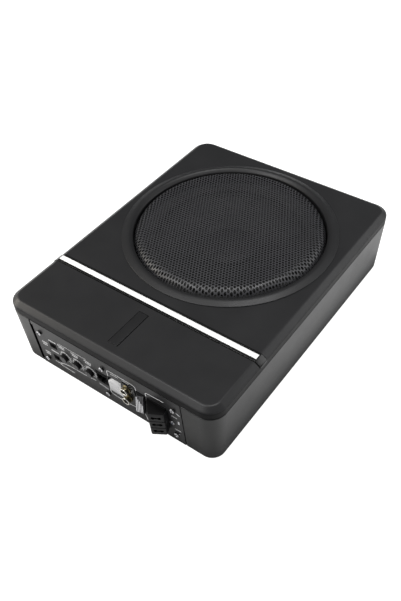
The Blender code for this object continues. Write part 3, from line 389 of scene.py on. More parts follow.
black_plastic = moulded("black_plastic", (0.0055, 0.0055, 0.006), (0.010, 0.010, 0.011), 0.42,
                        Specular_IOR_Level=0.12)
plug_plastic = moulded("plug_plastic", (0.009, 0.009, 0.010), (0.014, 0.014, 0.015), 0.34,
                       Specular_IOR_Level=0.25)
# Painted light: a lighter plastic for the knobs' faces, in place of the light that falls on them.
painted_light_knob_face = moulded("knob_face_painted_light", (0.020, 0.020, 0.022), (0.034, 0.034, 0.037), 0.34)
# A very black plastic, and also painted shade: the pocket walls, the lid's seam and seat, the
# grille's hole walls, the finned socket's base and the plug's tops.
deep_black_and_painted_shade = moulded("deep_black_and_painted_shade", (0.0030, 0.0030, 0.0032), (0.0050, 0.0050, 0.0054), 0.5,
                     Specular_IOR_Level=0.05)
# Painted shade: a matt near-black finish for the strip in the gap beside the panel.
gap_shade_strip = moulded("painted_gap_shade", (0.0010, 0.0010, 0.0011), (0.0020, 0.0020, 0.0022), 0.85, 0.0006,
               0.00008, Specular_IOR_Level=0.0)
glossy_black = moulded("glossy_black", (0.006, 0.006, 0.006), (0.009, 0.009, 0.009), 0.16,
                       Specular_IOR_Level=0.3)
nylon = moulded("natural_nylon", (0.56, 0.56, 0.57), (0.68, 0.68, 0.69), 0.40, 0.0008, 0.00006)
clear_grey = moulded("frosted_grey", (0.60, 0.60, 0.62), (0.78, 0.78, 0.80), 0.28, 0.0006)
# Painted shade: a darker plastic for the fins' flanks and upper ends.
fin_painted_shade = moulded("fin_painted_shade", (0.05, 0.05, 0.053), (0.09, 0.09, 0.095), 0.5, 0.0006)
ink = moulded("white_print", (0.66, 0.66, 0.67), (0.80, 0.80, 0.81), 0.5, 0.0003, 0.00001)
grey_ink = moulded("grey_print", (0.30, 0.30, 0.31), (0.38, 0.38, 0.39), 0.5, 0.0003, 0.00001)
lens_plastic = moulded("lamp_lens", (0.10, 0.11, 0.14), (0.16, 0.18, 0.22), 0.22,
                       Coat_Weight=0.2)
board = moulded("solder_mask", (0.010, 0.075, 0.030), (0.018, 0.11, 0.045), 0.25, 0.002, 0.0001)
print("finishes so far:", len(bpy.data.materials) - 1)

# %% Rubber, paper and cloth
rubber = Finish("rubber", lambda f: f.between((0.012, 0.012, 0.012), (0.03, 0.03, 0.029),
                                              f.sharpen(f.noise(0.01, 5.0), 0.45, 0.8)),
                lambda f: 0.55 + 0.2 * f.noise(0.004, 3.0))
rubber.bump(lambda f: f.noise(0.0008, 3.0), 0.00006)
pulp = Finish("paper_pulp", lambda f: f.between((0.006, 0.006, 0.0065), (0.014, 0.014, 0.015),
                                                f.noise(0.0016, 6.0)),
              lambda f: 0.5 + 0.25 * f.noise(0.001, 5.0))
pulp.bump(lambda f: f.noise(0.0007, 6.0), 0.00015)


def woven(name, dark, light, thread):
    """Plain weave: the mean of two crossed waves lifts and shades the threads."""
    made = Finish(name, dark, lambda f: 0.75 + 0.15 * f.noise(0.002))
    waves = [made.node("TexWave", {"wave_profile": "SIN", "bands_direction": axis},
                       {"Vector": made.place, "Scale": 0.5 / thread}, "Fac") for axis in "XY"]
    weave = waves[0] * 0.5 + waves[1] * 0.5
    made.feed("Base Color", made.between(dark, light, weave))
    return made.bump(lambda f: weave, 0.0002)


cloth = woven("varnished_cloth", (0.24, 0.16, 0.05), (0.50, 0.36, 0.14), 0.0008)
print("finishes in all:", len(bpy.data.materials) - 1)

# %% [markdown]
# ## From arrays to pieces
# Nearly every surface here is a grid: one parameter runs round, the other along a profile. The
# points are worked out as one array, and the faces join neighbours in the grid. A piece whose
# profile meets its axis closes at a pole when points that coincide are merged.

# %% Meshes and pieces
def grid_faces(rows, columns, wrap_rows=False, wrap_columns=False, start=0):
    """Quads between neighbours of a grid of points, numbered row by row."""
    i = np.arange(rows if wrap_rows else rows - 1)[:, None]
    j = np.arange(columns if wrap_columns else columns - 1)[None, :]
    a, b = i * columns + j, i * columns + (j + 1) % columns
    c, d = ((i + 1) % rows) * columns + (j + 1) % columns, ((i + 1) % rows) * columns + j
    return start + np.stack([a, b, c, d], -1).reshape(-1, 4)


def as_mesh(name, points, faces, lids=()):
    """Mesh from an array of points, an array of quads and some polygons of any length."""
    mesh = bpy.data.meshes.new(name)
    mesh.from_pydata(points.reshape(-1, 3).tolist(), [], faces.tolist() + [list(p) for p in lids])
    return mesh


def faced_outwards(mesh):
    """Merge the points that coincide, then turn every face outwards."""
    work = bmesh.new()
    work.from_mesh(mesh)
    bmesh.ops.remove_doubles(work, verts=work.verts, dist=2e-6)
    bmesh.ops.recalc_face_normals(work, faces=work.faces)
    work.to_mesh(mesh)
    work.free()
    return mesh


def keep(name, mesh, finish, body="case", stands_for=(), slot="", sharp=38.0):
    """Make a mesh a finished piece: smooth up to an angle, riding on its body."""
    faced_outwards(mesh)
    mesh.shade_smooth()
    mesh.set_sharp_from_angle(angle=math.radians(sharp))
    piece = bpy.data.objects.new(name, mesh)
    bpy.context.scene.collection.objects.link(piece)
    for one in finish if isinstance(finish, list) else [finish]:
        mesh.materials.append(one.material)
    if body:
        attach(piece, body)
    if stands_for:
        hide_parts(stands_for)
    return piece


def face_table(mesh):
    """Six rows of numbers, with a column for each face: the centre and the normal."""
    return np.array([(*p.center, *p.normal) for p in mesh.polygons]).T


def paint(mesh, numbers):
    """Give each face the finish that has its number in the piece's list."""
    mesh.polygons.foreach_set("material_index", np.asarray(numbers).astype(np.int32))


print("a grid of 3 by 3 points has", len(grid_faces(3, 3)), "faces")

# %% [markdown]
# Few real edges are sharp. A line that will be turned or carried along has its corners eased
# first, and a box gets rounded edges by being drawn in towards a smaller box inside it.

# %% Eased lines and turned shapes
def fillet(corners, radius, steps=5, closed=True):
    """Polyline with each corner replaced by an arc.

    Each corner gives way to a curve between two points set back along its sides. The curve is
    the weighted mean (1-t)^2 of the first, 2t(1-t) of the corner and t^2 of the second."""
    corners = np.asarray(corners, float)
    radii = np.broadcast_to(np.asarray(radius, float), len(corners))
    t = np.linspace(0.0, 1.0, steps + 1)[:, None]
    path = []
    for k, corner in enumerate(corners):
        inner = closed or 0 < k < len(corners) - 1
        if not inner or radii[k] <= 0.0:
            path.append(corner[None, :])
            continue
        before, after = corners[k - 1] - corner, corners[(k + 1) % len(corners)] - corner
        start, end = (corner + v * min(radii[k] / np.linalg.norm(v), 0.49)
                      for v in (before, after))
        path.append((1 - t) ** 2 * start + 2 * t * (1 - t) * corner + t ** 2 * end)
    return np.concatenate(path)


def revolve(profile, sides=96, first=0.0, sweep=2 * np.pi):
    """Points of a turned shape: (radius cos a, radius sin a, height) for each angle a."""
    count = sides if sweep > 6.28 else sides + 1
    a = first + sweep * np.arange(count) / sides
    r, z = profile[:, 0][:, None], profile[:, 1][:, None]
    return np.stack([r * np.cos(a), r * np.sin(a), z + 0 * a], -1)


def turned(name, profile, finish, sides=96, centre=(0.0, 0.0), place=None, loop=True, **more):
    """Turned piece; place moves its points from their own axis to where the piece sits."""
    points = revolve(np.asarray(profile, float), sides)
    faces = grid_faces(len(points), sides, loop, True)
    points = place(points) if place else points + np.array([*centre, 0.0])
    return keep(name, as_mesh(name, points, faces), finish, **more)


print("a square with eased corners has",
      len(fillet([(0, 0), (1, 0), (1, 1), (0, 1)], 0.1)), "points")


# %% Soft boxes
def soft_box_points(low, high, radius, steps=3):
    """Box with rounded edges, as six grids.

    Each point q of the box's surface is drawn in: c is q limited to the box shrunk by the
    radius, and the new point lies one radius from c towards q."""
    low, high = np.asarray(low, float), np.asarray(high, float)
    half, centre = (high - low) / 2, (high + low) / 2
    radius = min(radius, 0.98 * half.min())
    ease = np.tan(np.linspace(0.0, np.pi / 4, steps + 1)) * radius
    sheets, faces, start = [], [], 0
    for axis in range(3):
        u_axis, v_axis = (axis + 1) % 3, (axis + 2) % 3
        lines = [np.concatenate([-(half[k] - radius) - ease[::-1], (half[k] - radius) + ease])
                 for k in (u_axis, v_axis)]
        u, v = np.meshgrid(*lines, indexing="ij")
        for sign in (-1.0, 1.0):
            q = np.zeros(u.shape + (3,))
            q[..., axis], q[..., u_axis], q[..., v_axis] = sign * half[axis], u, v
            core = np.clip(q, -(half - radius), half - radius)
            away = q - core
            sheets.append((core + radius * away / np.linalg.norm(away, axis=-1, keepdims=True)
                           + centre).reshape(-1, 3))
            faces.append(grid_faces(*u.shape, start=start))
            start += u.size
    return np.concatenate(sheets), np.concatenate(faces)


def soft_box(name, low, high, radius, finish, place=None, steps=3, **more):
    """Box with rounded edges as a finished piece."""
    points, faces = soft_box_points(low, high, radius, steps)
    return keep(name, as_mesh(name, place(points) if place else points, faces), finish, **more)


print("a soft box has", len(soft_box_points((0, 0, 0), (1, 1, 1), 0.1)[1]), "faces")

# %% [markdown]
# ## The panel's own frame
# The control panel leans with the wall of the tray. Its pieces are drawn flat, as position
# along the panel, depth out of its face and height above the seam, and one turn about X by
# the lean puts them in place.

# %% From the panel to the world
TILT = math.atan(LEAN)
PANEL_Y = MID_Y - HALF_Y
OUT_OF_PANEL = np.array([0.0, -math.cos(TILT), -math.sin(TILT)])
UP_PANEL = np.array([0.0, -math.sin(TILT), math.cos(TILT)])


def on_panel(points):
    """(along, out, up) on the panel to world: out and up are turned about X by the lean."""
    x, out, up = points[..., 0], points[..., 1], points[..., 2]
    return np.stack([x, PANEL_Y - out * math.cos(TILT) - up * math.sin(TILT),
                     SEAM - out * math.sin(TILT) + up * math.cos(TILT)], -1)


def at_spot(x, height):
    """Places a piece turned about its own axis so that the axis stands out of the panel."""
    def place(points):
        return on_panel(np.stack([x + points[..., 0], points[..., 2], height + points[..., 1]], -1))
    return place


print("panel face at the seam:", round(PANEL_Y * 1e3, 2), "mm")

# %% [markdown]
# ## Cutting
# Pockets, windows and slots are cut as on a mill: a tool's volume is taken away with an exact
# Boolean. Its tools are closed solids with flat faces, one after the other, because that solver
# is at its best with those.

# %% Solids and tools
def cut(mesh, cutters, name):
    """The mesh with the volume of each cutter taken away in turn, as a new mesh."""
    for cutter in cutters:
        pair = [bpy.data.objects.new(n, m) for n, m in ((name, mesh), (name + "_tool", cutter))]
        for thing in pair:
            bpy.context.scene.collection.objects.link(thing)
        change = pair[0].modifiers.new("cut", "BOOLEAN")
        change.operation, change.solver, change.object = "DIFFERENCE", "EXACT", pair[1]
        bpy.context.view_layer.update()
        graph = bpy.context.evaluated_depsgraph_get()
        mesh = bpy.data.meshes.new_from_object(pair[0].evaluated_get(graph))
        for thing in pair:
            bpy.data.objects.remove(thing)
    mesh.materials.clear()
    return mesh


def solid(name, points, faces, lids=()):
    """Closed mesh with its faces turned outwards, ready to be cut or to cut."""
    return faced_outwards(as_mesh(name, points, faces, lids))


def prism(name, rings):
    """Closed solid through rings of points, with a flat polygon over each end."""
    many, count = rings.shape[:2]
    ends = [range(count - 1, -1, -1), range((many - 1) * count, many * count)]
    return solid(name, rings, grid_faces(many, count, False, True), ends)


def drawn_in(outline, distance):
    """Outline with each point moved by a distance towards the mean of them all."""
    middle = outline.mean(0)
    away = outline - middle
    return middle + away * (1 - distance / np.linalg.norm(away, axis=1, keepdims=True))


def box_mesh(name, low, high, place=None, radius=1e-5, steps=1):
    """Box as a solid; its edges are all but sharp unless a radius is given."""
    points, faces = soft_box_points(low, high, radius, steps)
    return solid(name, place(points) if place else points, faces)


def drum_mesh(name, radius, low, high, centre, sides=48):
    """Upright drum from one height to another."""
    profile = np.array([(0.0, low), (radius, low), (radius, high), (0.0, high)])
    points = revolve(profile, sides) + np.array([*centre, 0.0])
    return solid(name, points, grid_faces(4, sides, False, True))


print("a unit square drawn in by 0.1:",
      drawn_in(np.array([(0, 0), (1, 0), (1, 1), (0, 1)]), 0.1).round(2).tolist())

# %% [markdown]
# ## The tray and the lid
# Both are castings with drafted walls and rounded corners. A loft carries a rounded rectangle
# up a profile: at each height the outline is the corner's centre plus the corner radius, less
# the inset, in the direction of the angle. That keeps the corners concentric all the way.

# %% A loft of rounded rectangles
def outline_stack(profile, corner, steps=14):
    """Rings of a rounded rectangle: corner centre + (radius - inset) * direction."""
    quarter = np.linspace(0.0, np.pi / 2, steps + 1)
    angles = np.concatenate([quarter + k * np.pi / 2 for k in range(4)])
    sx = np.repeat([1, -1, -1, 1], steps + 1)
    sy = np.repeat([1, 1, -1, -1], steps + 1)
    inset, z = profile[:, 0][:, None], profile[:, 1][:, None]
    x = sx * (HALF_X - corner) + (corner - inset) * np.cos(angles)
    y = MID_Y + sy * (HALF_Y - corner) + (corner - inset) * np.sin(angles)
    return np.stack([x, y, z + 0 * x], -1)


def casting(name, profile, corner=CORNER):
    """Closed casting: the loft, with a flat polygon over its first and its last ring."""
    return prism(name, outline_stack(profile, corner))


print("corner radius:", round(CORNER * 1e3, 1), "mm")

# %% [markdown]
# The tray's profile runs from its inner floor up the inner wall, over the rim, and down the
# outer wall to the rounded bottom edge. The pocket for the panel, the recesses for the feet
# and the holes for the screws are cut into the casting, as they would be milled. Beside the
# panel the walls of the pocket carry painted shade, and a matt black strip that closes the gap
# is painted shade as well.

# %% The tray's profile
WALL = 3.0 * MM
rim_z = case_high.z


def lean_at(z):
    """How far the wall has come in at a height."""
    return LEAN * (SEAM - z)


bottom = fillet([(lean_at(rim_z), rim_z), (lean_at(UNDER), UNDER),
                 (lean_at(UNDER) + 8 * MM, UNDER)], 2.4 * MM, 6, closed=False)
rim = fillet([(lean_at(rim_z) + WALL, rim_z - 9 * MM), (lean_at(rim_z) + WALL, rim_z),
              (lean_at(rim_z), rim_z), (lean_at(rim_z) + 0.4 * MM, rim_z - 9 * MM)],
             0.9 * MM, 4, closed=False)
inner_floor = [(lean_at(UNDER) + WALL + 2 * MM, UNDER + WALL)]
tray = casting("tray", np.concatenate([inner_floor, rim[:-1], bottom[1:]]))
print("tray before cutting:", len(tray.polygons), "faces")

# %% The tray
# The tools: the panel's pocket, the opening behind it, the gaps beside it, and the recesses
# for the feet and the screws.
panel_low, panel_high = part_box("control_panel")
pocket = (panel_low.x - 1.9 * MM, panel_high.x + 1.1 * MM)
tools = [box_mesh("pocket", (pocket[0], -2.8 * MM, -75 * MM), (pocket[1], 9 * MM, 9 * MM),
                  on_panel),
         box_mesh("behind", (pocket[0] + 9 * MM, -9 * MM, -56 * MM),
                  (pocket[1] - 5 * MM, 0, -9 * MM), on_panel)]
tools += [box_mesh("side_gap", (x, -9 * MM, -58 * MM), (x + width * MM, 0.0, -6 * MM), on_panel)
          for x, width in ((pocket[0], 2.2), (pocket[1] - 1.3 * MM, 1.3))]
foot_spots = [middle_of(f"foot_{i}") for i in range(1, 5)]
screw_spots = [middle_of(f"case_screw_{i}") for i in range(1, 5)]
for kind, radius, depth, spots in (("foot_recess", 7.4, 1.0, foot_spots),
                                   ("screw_recess", 4.4, 1.5, screw_spots)):
    tools += [drum_mesh(kind, radius * MM, -MM, UNDER + depth * MM, spot[:2]) for spot in spots]
tray_mesh = cut(tray, tools, "tray")
x, y, z, *normal = face_table(tray_mesh)
# Painted shade: the side walls of the panel's pocket take the near-black finish, for the shade in
# the gaps beside the panel.
paint(tray_mesh, (np.abs(normal[0]) > 0.7) & (x > pocket[0] - MM) & (x < pocket[1] + MM)
      & (y < PANEL_Y + 14 * MM))
tray_piece = keep("tray_casting", tray_mesh, [tray_coat, deep_black_and_painted_shade], stands_for="lower_case",
                  slot="cast_paint")
# Painted shade: a matt near-black strip in the gap beside the panel.
soft_box("panel_gap_shade", (pocket[0] - 0.3 * MM, -1.5 * MM, -58.5 * MM),
         (pocket[0] + 3.5 * MM, 0.2 * MM, -6.0 * MM), 0.1 * MM, gap_shade_strip, on_panel,
         slot="rubber_black")
print("tray faces:", len(tray_mesh.polygons), "panel from", round(panel_low.x * 1e3, 2))

# %% [markdown]
# The lid has a skirt, a broad chamfer and a flat top. Its edges are soft, because a coat of
# paint never leaves a sharp line. A small step inside the skirt's foot leaves a dark seam over
# the tray. The round opening, the channel for the carrier bar and the shallow seat of the
# badge are cut from it. The skirt has a darker, duller coat than the top, as painted shade, and
# the seam and the seat are painted almost black, as painted shade in those recesses.

# %% The lid's profile
chamfer_in, chamfer_down = 6.1 * MM, 4.2 * MM
SKIN = 3.0 * MM
outer = fillet([(0.0, SEAM), (0.0, TOP - chamfer_down), (chamfer_in, TOP),
                (chamfer_in + 4 * MM, TOP)], [0, 1.3 * MM, 1.3 * MM, 0], 5, closed=False)
inner = [(chamfer_in + 3 * MM, TOP - SKIN), (SKIN, TOP - SKIN - chamfer_down), (SKIN, SEAM)]
step_in = [(1.2 * MM, SEAM), (1.2 * MM, SEAM + 0.8 * MM), (0.1 * MM, SEAM + 0.9 * MM)]
lid = casting("lid", np.concatenate([inner, step_in, outer[1:]]))
opening = 103.0 * MM
bar_low, bar_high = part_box("strip_carrier")
badge_low, badge_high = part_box("badge_plate")
bar_y = (bar_low.y + bar_high.y) / 2
half_bar = (bar_high.y - bar_low.y) / 2
print("opening", round(2e3 * opening), "mm across, bar", round(2e3 * half_bar, 1), "mm wide")


# %% The channel across the lid
def over_lid(offset, low, soft=1.3 * MM):
    """Outline across the lid, parallel to it at an offset, from one skirt to the other."""
    slope = math.atan2(chamfer_down, chamfer_in)
    shoulder = TOP - chamfer_down + offset * math.tan((math.pi / 2 - slope) / 2)
    edge = HALF_X - chamfer_in + offset * math.tan(slope / 2)
    half = [(HALF_X + offset, low), (HALF_X + offset, shoulder), (edge, TOP + offset)]
    return fillet(half + [(-x, z) for x, z in reversed(half)], [0, soft, soft, soft, soft, 0],
                  5, closed=False)


def channel(name, depth, low, half_width):
    """Everything above a line over the lid, as a prism across it: the tool for the channel."""
    line = over_lid(-depth, low, 0.6 * MM)
    far, above = HALF_X + 9 * MM, TOP + 9 * MM
    loop = np.concatenate([line, [(-far, low), (-far, above), (far, above), (far, low)]])
    return prism(name, np.stack([np.stack([loop[:, 0], np.full(len(loop), bar_y + s * half_width),
                                           loop[:, 1]], -1) for s in (-1, 1)]))


lid_tools = [drum_mesh("opening", opening, TOP - 9 * MM, TOP + 9 * MM, AXIS, sides=160),
             channel("channel", 1.5 * MM, TOP - chamfer_down - 1.5 * MM, half_bar + 0.6 * MM),
             box_mesh("badge_seat", (badge_low.x - 0.3 * MM, badge_low.y - 0.3 * MM, TOP - MM),
                      (badge_high.x + 1.0 * MM, badge_high.y + 0.3 * MM, TOP + 5 * MM))]
print("tools for the lid:", len(lid_tools))

# %% The lid
lid_mesh = cut(lid, lid_tools, "lid")
x, y, z, *normal = face_table(lid_mesh)
outwards = normal[0] * x + normal[1] * (y - MID_Y) > 0
shade_on_skirt = outwards & (np.abs(normal[2]) < 0.3) & (z < TOP - chamfer_down)
shade_in_seam = z < SEAM + 0.85 * MM
badge_mid, badge_half = (badge_low + badge_high) / 2, (badge_high - badge_low) / 2
shade_in_seat = ((np.abs(x - badge_mid.x) < badge_half.x + 1.2 * MM)
           & (np.abs(y - badge_mid.y) < badge_half.y + 0.5 * MM)
           & (z < TOP - 0.2 * MM) & (z > TOP - 1.5 * MM))
# Painted shade: the seam's step and the badge's seat take the near-black finish, and the skirt
# takes its darker coat.
paint(lid_mesh, np.where(shade_in_seam | shade_in_seat, 2, np.where(shade_on_skirt, 1, 0)))
lid_piece = keep("lid_casting", lid_mesh, [lid_coat, skirt_painted_shade_coat, deep_black_and_painted_shade],
                 stands_for="top_cover", slot="lid_paint", sharp=28.0)
for piece in (lid_piece, tray_piece):
    piece.modifiers.new("even_shading", "WEIGHTED_NORMAL").keep_sharp = True
print("lid faces:", len(lid_mesh.polygons))

# %% [markdown]
# Inside the opening the lid has a well with a ledge, which carries the woofer. It is hardly
# seen, but it stops the view from falling through the gap beside the grille.

# %% The well under the grille
shelf_top = grille_low.z - 0.3 * MM
well_profile = fillet([(opening + 2.5 * MM, TOP - 2.5 * MM),
                       (opening + 2.5 * MM, shelf_top - 3 * MM), (88 * MM, shelf_top - 3 * MM),
                       (88 * MM, shelf_top), (opening, shelf_top), (opening, TOP - 2.5 * MM)],
                      0.5 * MM, 3)
turned("woofer_well", well_profile, lid_coat, 128, AXIS, slot="lid_paint")
print("well ledge at", round(shelf_top * 1e3, 1), "mm")

# %% [markdown]
# ## The collar
# A turned ring round the grille: an upright lip inside, a soft crest, and a long slope down to
# a thin foot that leaves a dark line on the lid.

# %% The collar
ring_low, ring_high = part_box("grille_ring")
crest, foot = ring_high.z, ring_low.z
ring_profile = fillet([(102.7 * MM, foot), (102.7 * MM, TOP + 0.3 * MM),
                       (113.45 * MM, TOP + 0.3 * MM), (113.45 * MM, TOP + 0.75 * MM),
                       (107.6 * MM, crest), (105.2 * MM, crest), (101.35 * MM, TOP + 0.1 * MM),
                       (101.35 * MM, foot)], mm(0.2, 0.3, 0.1, 0.5, 1.8, 1.6, 1.2, 0.2), 6)
collar = turned("grille_collar", ring_profile, lid_coat, 192, AXIS, stands_for="grille_ring",
                slot="lid_paint", sharp=50.0)
print("collar", [round(v * 1e3, 1) for v in collar.dimensions])

# %% [markdown]
# ## The perforated grille
# A flat steel sheet is punched in a close hexagonal pattern, then drawn over a form, so the
# holes in the rounded edge come out longer than they are wide. The same order is followed
# here. The pattern is laid out flat, each hexagonal cell with a round hole, and then every
# point is carried to the dome by its distance from the centre. Rather than a hole texture,
# which would look painted from the side, each hole is real and has its own wall.

# %% The form that the sheet is drawn over
PITCH, HOLE = 3.45 * MM, 1.27 * MM            # between holes, and a hole's radius
SHEET = 0.55 * MM                             # thickness of the steel
dome_r, bend_r = 88.5 * MM, 12.0 * MM         # radius of the crown, and of the bend round it
dome_drop = 0.7 * MM                          # how far the crown falls from its middle
crown = grille_high.z - 0.05 * MM
STRETCH = 0.06 / MM                           # how much the bend lengthens the sheet


def on_form(flat_r, sink):
    """Radius and height on the dome for a distance from the centre of the flat sheet.

    On the crown the height falls with the square of the radius. Past it the length along the
    bend is q + stretch * q squared, first round the bend and then straight down. The point
    then moves inwards along the normal by sink."""
    q = np.clip(flat_r - dome_r, 0.0, None)
    run = q + STRETCH * q ** 2
    angle = np.pi / 2 - np.clip(run / bend_r, 0.0, np.pi / 2)
    straight = np.clip(run - bend_r * np.pi / 2, 0.0, None)
    inside = flat_r < dome_r
    normal_r = np.where(inside, 2 * dome_drop * flat_r / dome_r ** 2, np.cos(angle))
    normal_z = np.where(inside, 1.0, np.sin(angle))
    size = np.hypot(normal_r, normal_z)
    r = np.where(inside, flat_r, dome_r + bend_r * np.cos(angle)) - sink * normal_r / size
    z = np.where(inside, crown - dome_drop * (flat_r / dome_r) ** 2,
                 crown - dome_drop - bend_r * (1 - np.sin(angle)) - straight)
    return r, z - sink * normal_z / size


print("crown of the dome at", round(crown * 1e3, 1), "mm")

# %% Lay out the cells
flat_edge = dome_r + 12.0 * MM
n = int(flat_edge / (PITCH * math.sqrt(0.75))) + 2
col, row = np.meshgrid(np.arange(-n, n + 1), np.arange(-n, n + 1))
cx, cy = PITCH * (col + 0.5 * (row % 2)), PITCH * math.sqrt(0.75) * row
on_sheet = np.hypot(cx, cy) < flat_edge
cx, cy = cx[on_sheet], cy[on_sheet]
turns12 = np.arange(12) * np.pi / 6 + np.pi / 6
turns6 = np.arange(6) * np.pi / 3 + np.pi / 6
hex_r = PITCH / math.sqrt(3)
print("holes:", len(cx))


# %% [markdown]
# Each cell is a hexagon round a hole of twelve sides. The faces that look out take the coat of
# the grille. The underside, the walls of the holes and the outer border are painted almost
# black: painted shade, since light hardly reaches them.

# %% Draw the sheet
def sheet_piece(name, chosen):
    """Cells of the sheet as one closed piece: face, underside, hole walls and outer border."""
    x, y = cx[chosen][:, None], cy[chosen][:, None]
    flat = np.concatenate([np.stack([x + size * np.cos(turns), y + size * np.sin(turns)], -1)
                           for size, turns in ((hex_r, turns6), (HOLE, turns12))], 1)
    keys = np.round(flat.reshape(-1, 2) / 1e-6).astype(np.int64)
    _, first, index = np.unique(keys, axis=0, return_index=True, return_inverse=True)
    flat2, index = flat.reshape(-1, 2)[first], index.reshape(-1, 18)
    radius, turn = np.hypot(*flat2.T), np.arctan2(flat2[:, 1], flat2[:, 0])
    layers = []
    for sink in (0.0, SHEET):
        r, z = on_form(radius, sink)
        layers.append(np.stack([AXIS[0] + r * np.cos(turn), AXIS[1] + r * np.sin(turn), z], -1))
    below = len(flat2)
    corner, hole = index[:, :6], index[:, 6:]
    face, painted_shade_faces = [], []
    for k in range(6):
        c0, c1 = corner[:, k], corner[:, (k + 1) % 6]
        h0, h1, h2 = hole[:, 2 * k], hole[:, 2 * k + 1], hole[:, (2 * k + 2) % 12]
        face += [np.stack([c0, c1, h1, h0], -1), np.stack([c1, h2, h1], -1)]
        painted_shade_faces += [below + np.stack([c0, h0, h1, c1], -1), below + np.stack([c1, h1, h2], -1)]
    for k in range(12):
        h0, h1 = hole[:, k], hole[:, (k + 1) % 12]
        painted_shade_faces.append(np.stack([h0, h1, below + h1, below + h0], -1))
    sides = np.concatenate([np.stack([corner[:, k], corner[:, (k + 1) % 6]], -1)
                            for k in range(6)])
    _, where, times = np.unique(np.sort(sides, axis=1), axis=0, return_index=True,
                                return_counts=True)
    one, two = sides[where[times == 1]].T
    painted_shade_faces.append(np.stack([two, one, below + one, below + two], -1))
    mesh = bpy.data.meshes.new(name)
    mesh.from_pydata(np.concatenate(layers).tolist(), [],
                     [f for block in face + painted_shade_faces for f in block.tolist()])
    # Painted shade: the near-black finish on the underside, the hole walls and the border.
    paint(mesh, np.repeat([0, 1], [sum(map(len, face)), sum(map(len, painted_shade_faces))]))
    return mesh


reach, parting = np.hypot(cx, cy), 68 * MM
for name, chosen in (("grille_crown", reach < parting), ("grille_edge", reach >= parting)):
    piece = keep(name, sheet_piece(name, chosen), [grille_coat, deep_black_and_painted_shade],
                 stands_for="grille", slot="black_steel")
    print(name, len(piece.data.polygons), "faces")
rim_top, rim_out, rim_in = crown - 13.4 * MM, 100.45 * MM, 99.5 * MM
rim_profile = fillet([(rim_out, rim_top), (rim_out, grille_low.z), (rim_in, grille_low.z),
                      (rim_in, rim_top)], 0.2 * MM, 2)
turned("grille_rim", rim_profile, grille_coat, 128, AXIS, slot="black_steel")

# %% [markdown]
# ## The carrier bar, the strip and the badge
# The bar lies across the lid and wraps over both chamfers. It is a section carried along a
# path: the path is the outline of the lid, and the section is a flat rectangle with soft
# corners. The bright strip lies in it, and a blank badge lies in its seat further forward.

# %% Trim
def carried(name, path, section, finish, **more):
    """Section carried along a path in the X-Z plane, with flat ends.

    A section point (w, h) moves by w along Y and by h along the path's normal."""
    run = np.gradient(path, axis=0)
    run /= np.linalg.norm(run, axis=1, keepdims=True)
    normal = np.stack([run[:, 1], -run[:, 0]], -1)
    x = path[:, None, 0] + section[None, :, 1] * normal[:, None, 0]
    z = path[:, None, 1] + section[None, :, 1] * normal[:, None, 1]
    y = bar_y + section[None, :, 0] + 0 * x
    count, many = len(section), len(path)
    lids = [range(count), range((many - 1) * count, many * count)]
    faces = grid_faces(many, count, False, True)
    return keep(name, as_mesh(name, np.stack([x, y, z], -1), faces, lids), finish, **more)


bar_path = over_lid(0.0, TOP - chamfer_down - 1.2 * MM)
bar_section = fillet([(-half_bar, -1.1 * MM), (half_bar, -1.1 * MM), (half_bar, 0.6 * MM),
                      (-half_bar, 0.6 * MM)], mm(0.1, 0.1, 0.45, 0.45), 4)
carried("carrier_bar", bar_path, bar_section, glossy_black, stands_for="strip_carrier",
        slot="black_plastic")
strip_low, strip_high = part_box("trim_strip")
soft_box("silver_strip", strip_low, strip_high, 0.3 * MM, silver, stands_for="trim_strip",
         slot="satin_silver")
soft_box("blank_badge", badge_low, badge_high, 0.25 * MM, badge_coat, stands_for="badge_plate",
         slot="black_steel")
print("strip", [round((b - a) * 1e3, 1) for a, b in zip(strip_low, strip_high)])

# %% [markdown]
# ## Screws with a cross recess
# A pan head is a low dome. The cross is pressed into it, so the head is one height over the
# plane: the dome, less the depth of the cross wherever a point lies within an arm. Both are
# smooth functions of radius and angle, which the grid then samples.

# %% Screw heads
def step_up(value, soft):
    """0 below zero, 1 above soft, and a smooth rise between: 3t^2 - 2t^3."""
    t = np.clip(value / soft, 0.0, 1.0)
    return t * t * (3 - 2 * t)


def cross_head(radius, height, turn=0.3):
    """Points of a pan head with a cross recess, from the middle of the top to the shank."""
    r = np.concatenate([np.linspace(0.0, 0.97, 26), [1.0, 1.0, 0.5]]) * radius
    a = np.linspace(0.0, 2 * np.pi, 72, endpoint=False)
    rr, aa = np.meshgrid(r, a, indexing="ij")
    dome = height * (0.55 + 0.45 * np.sqrt(np.clip(1 - (rr / radius) ** 2, 0, 1)))
    u, v = rr * np.cos(aa + turn), rr * np.sin(aa + turn)
    arm = np.minimum(np.abs(u), np.abs(v))
    cross = step_up(0.17 * radius - arm, 0.07 * radius) * step_up(0.58 * radius - rr, 0.1 * radius)
    z = dome - 0.62 * height * cross
    z[-2:] = 0.0
    z[-3] = 0.5 * height
    return np.stack([rr * np.cos(aa), rr * np.sin(aa), z], -1)


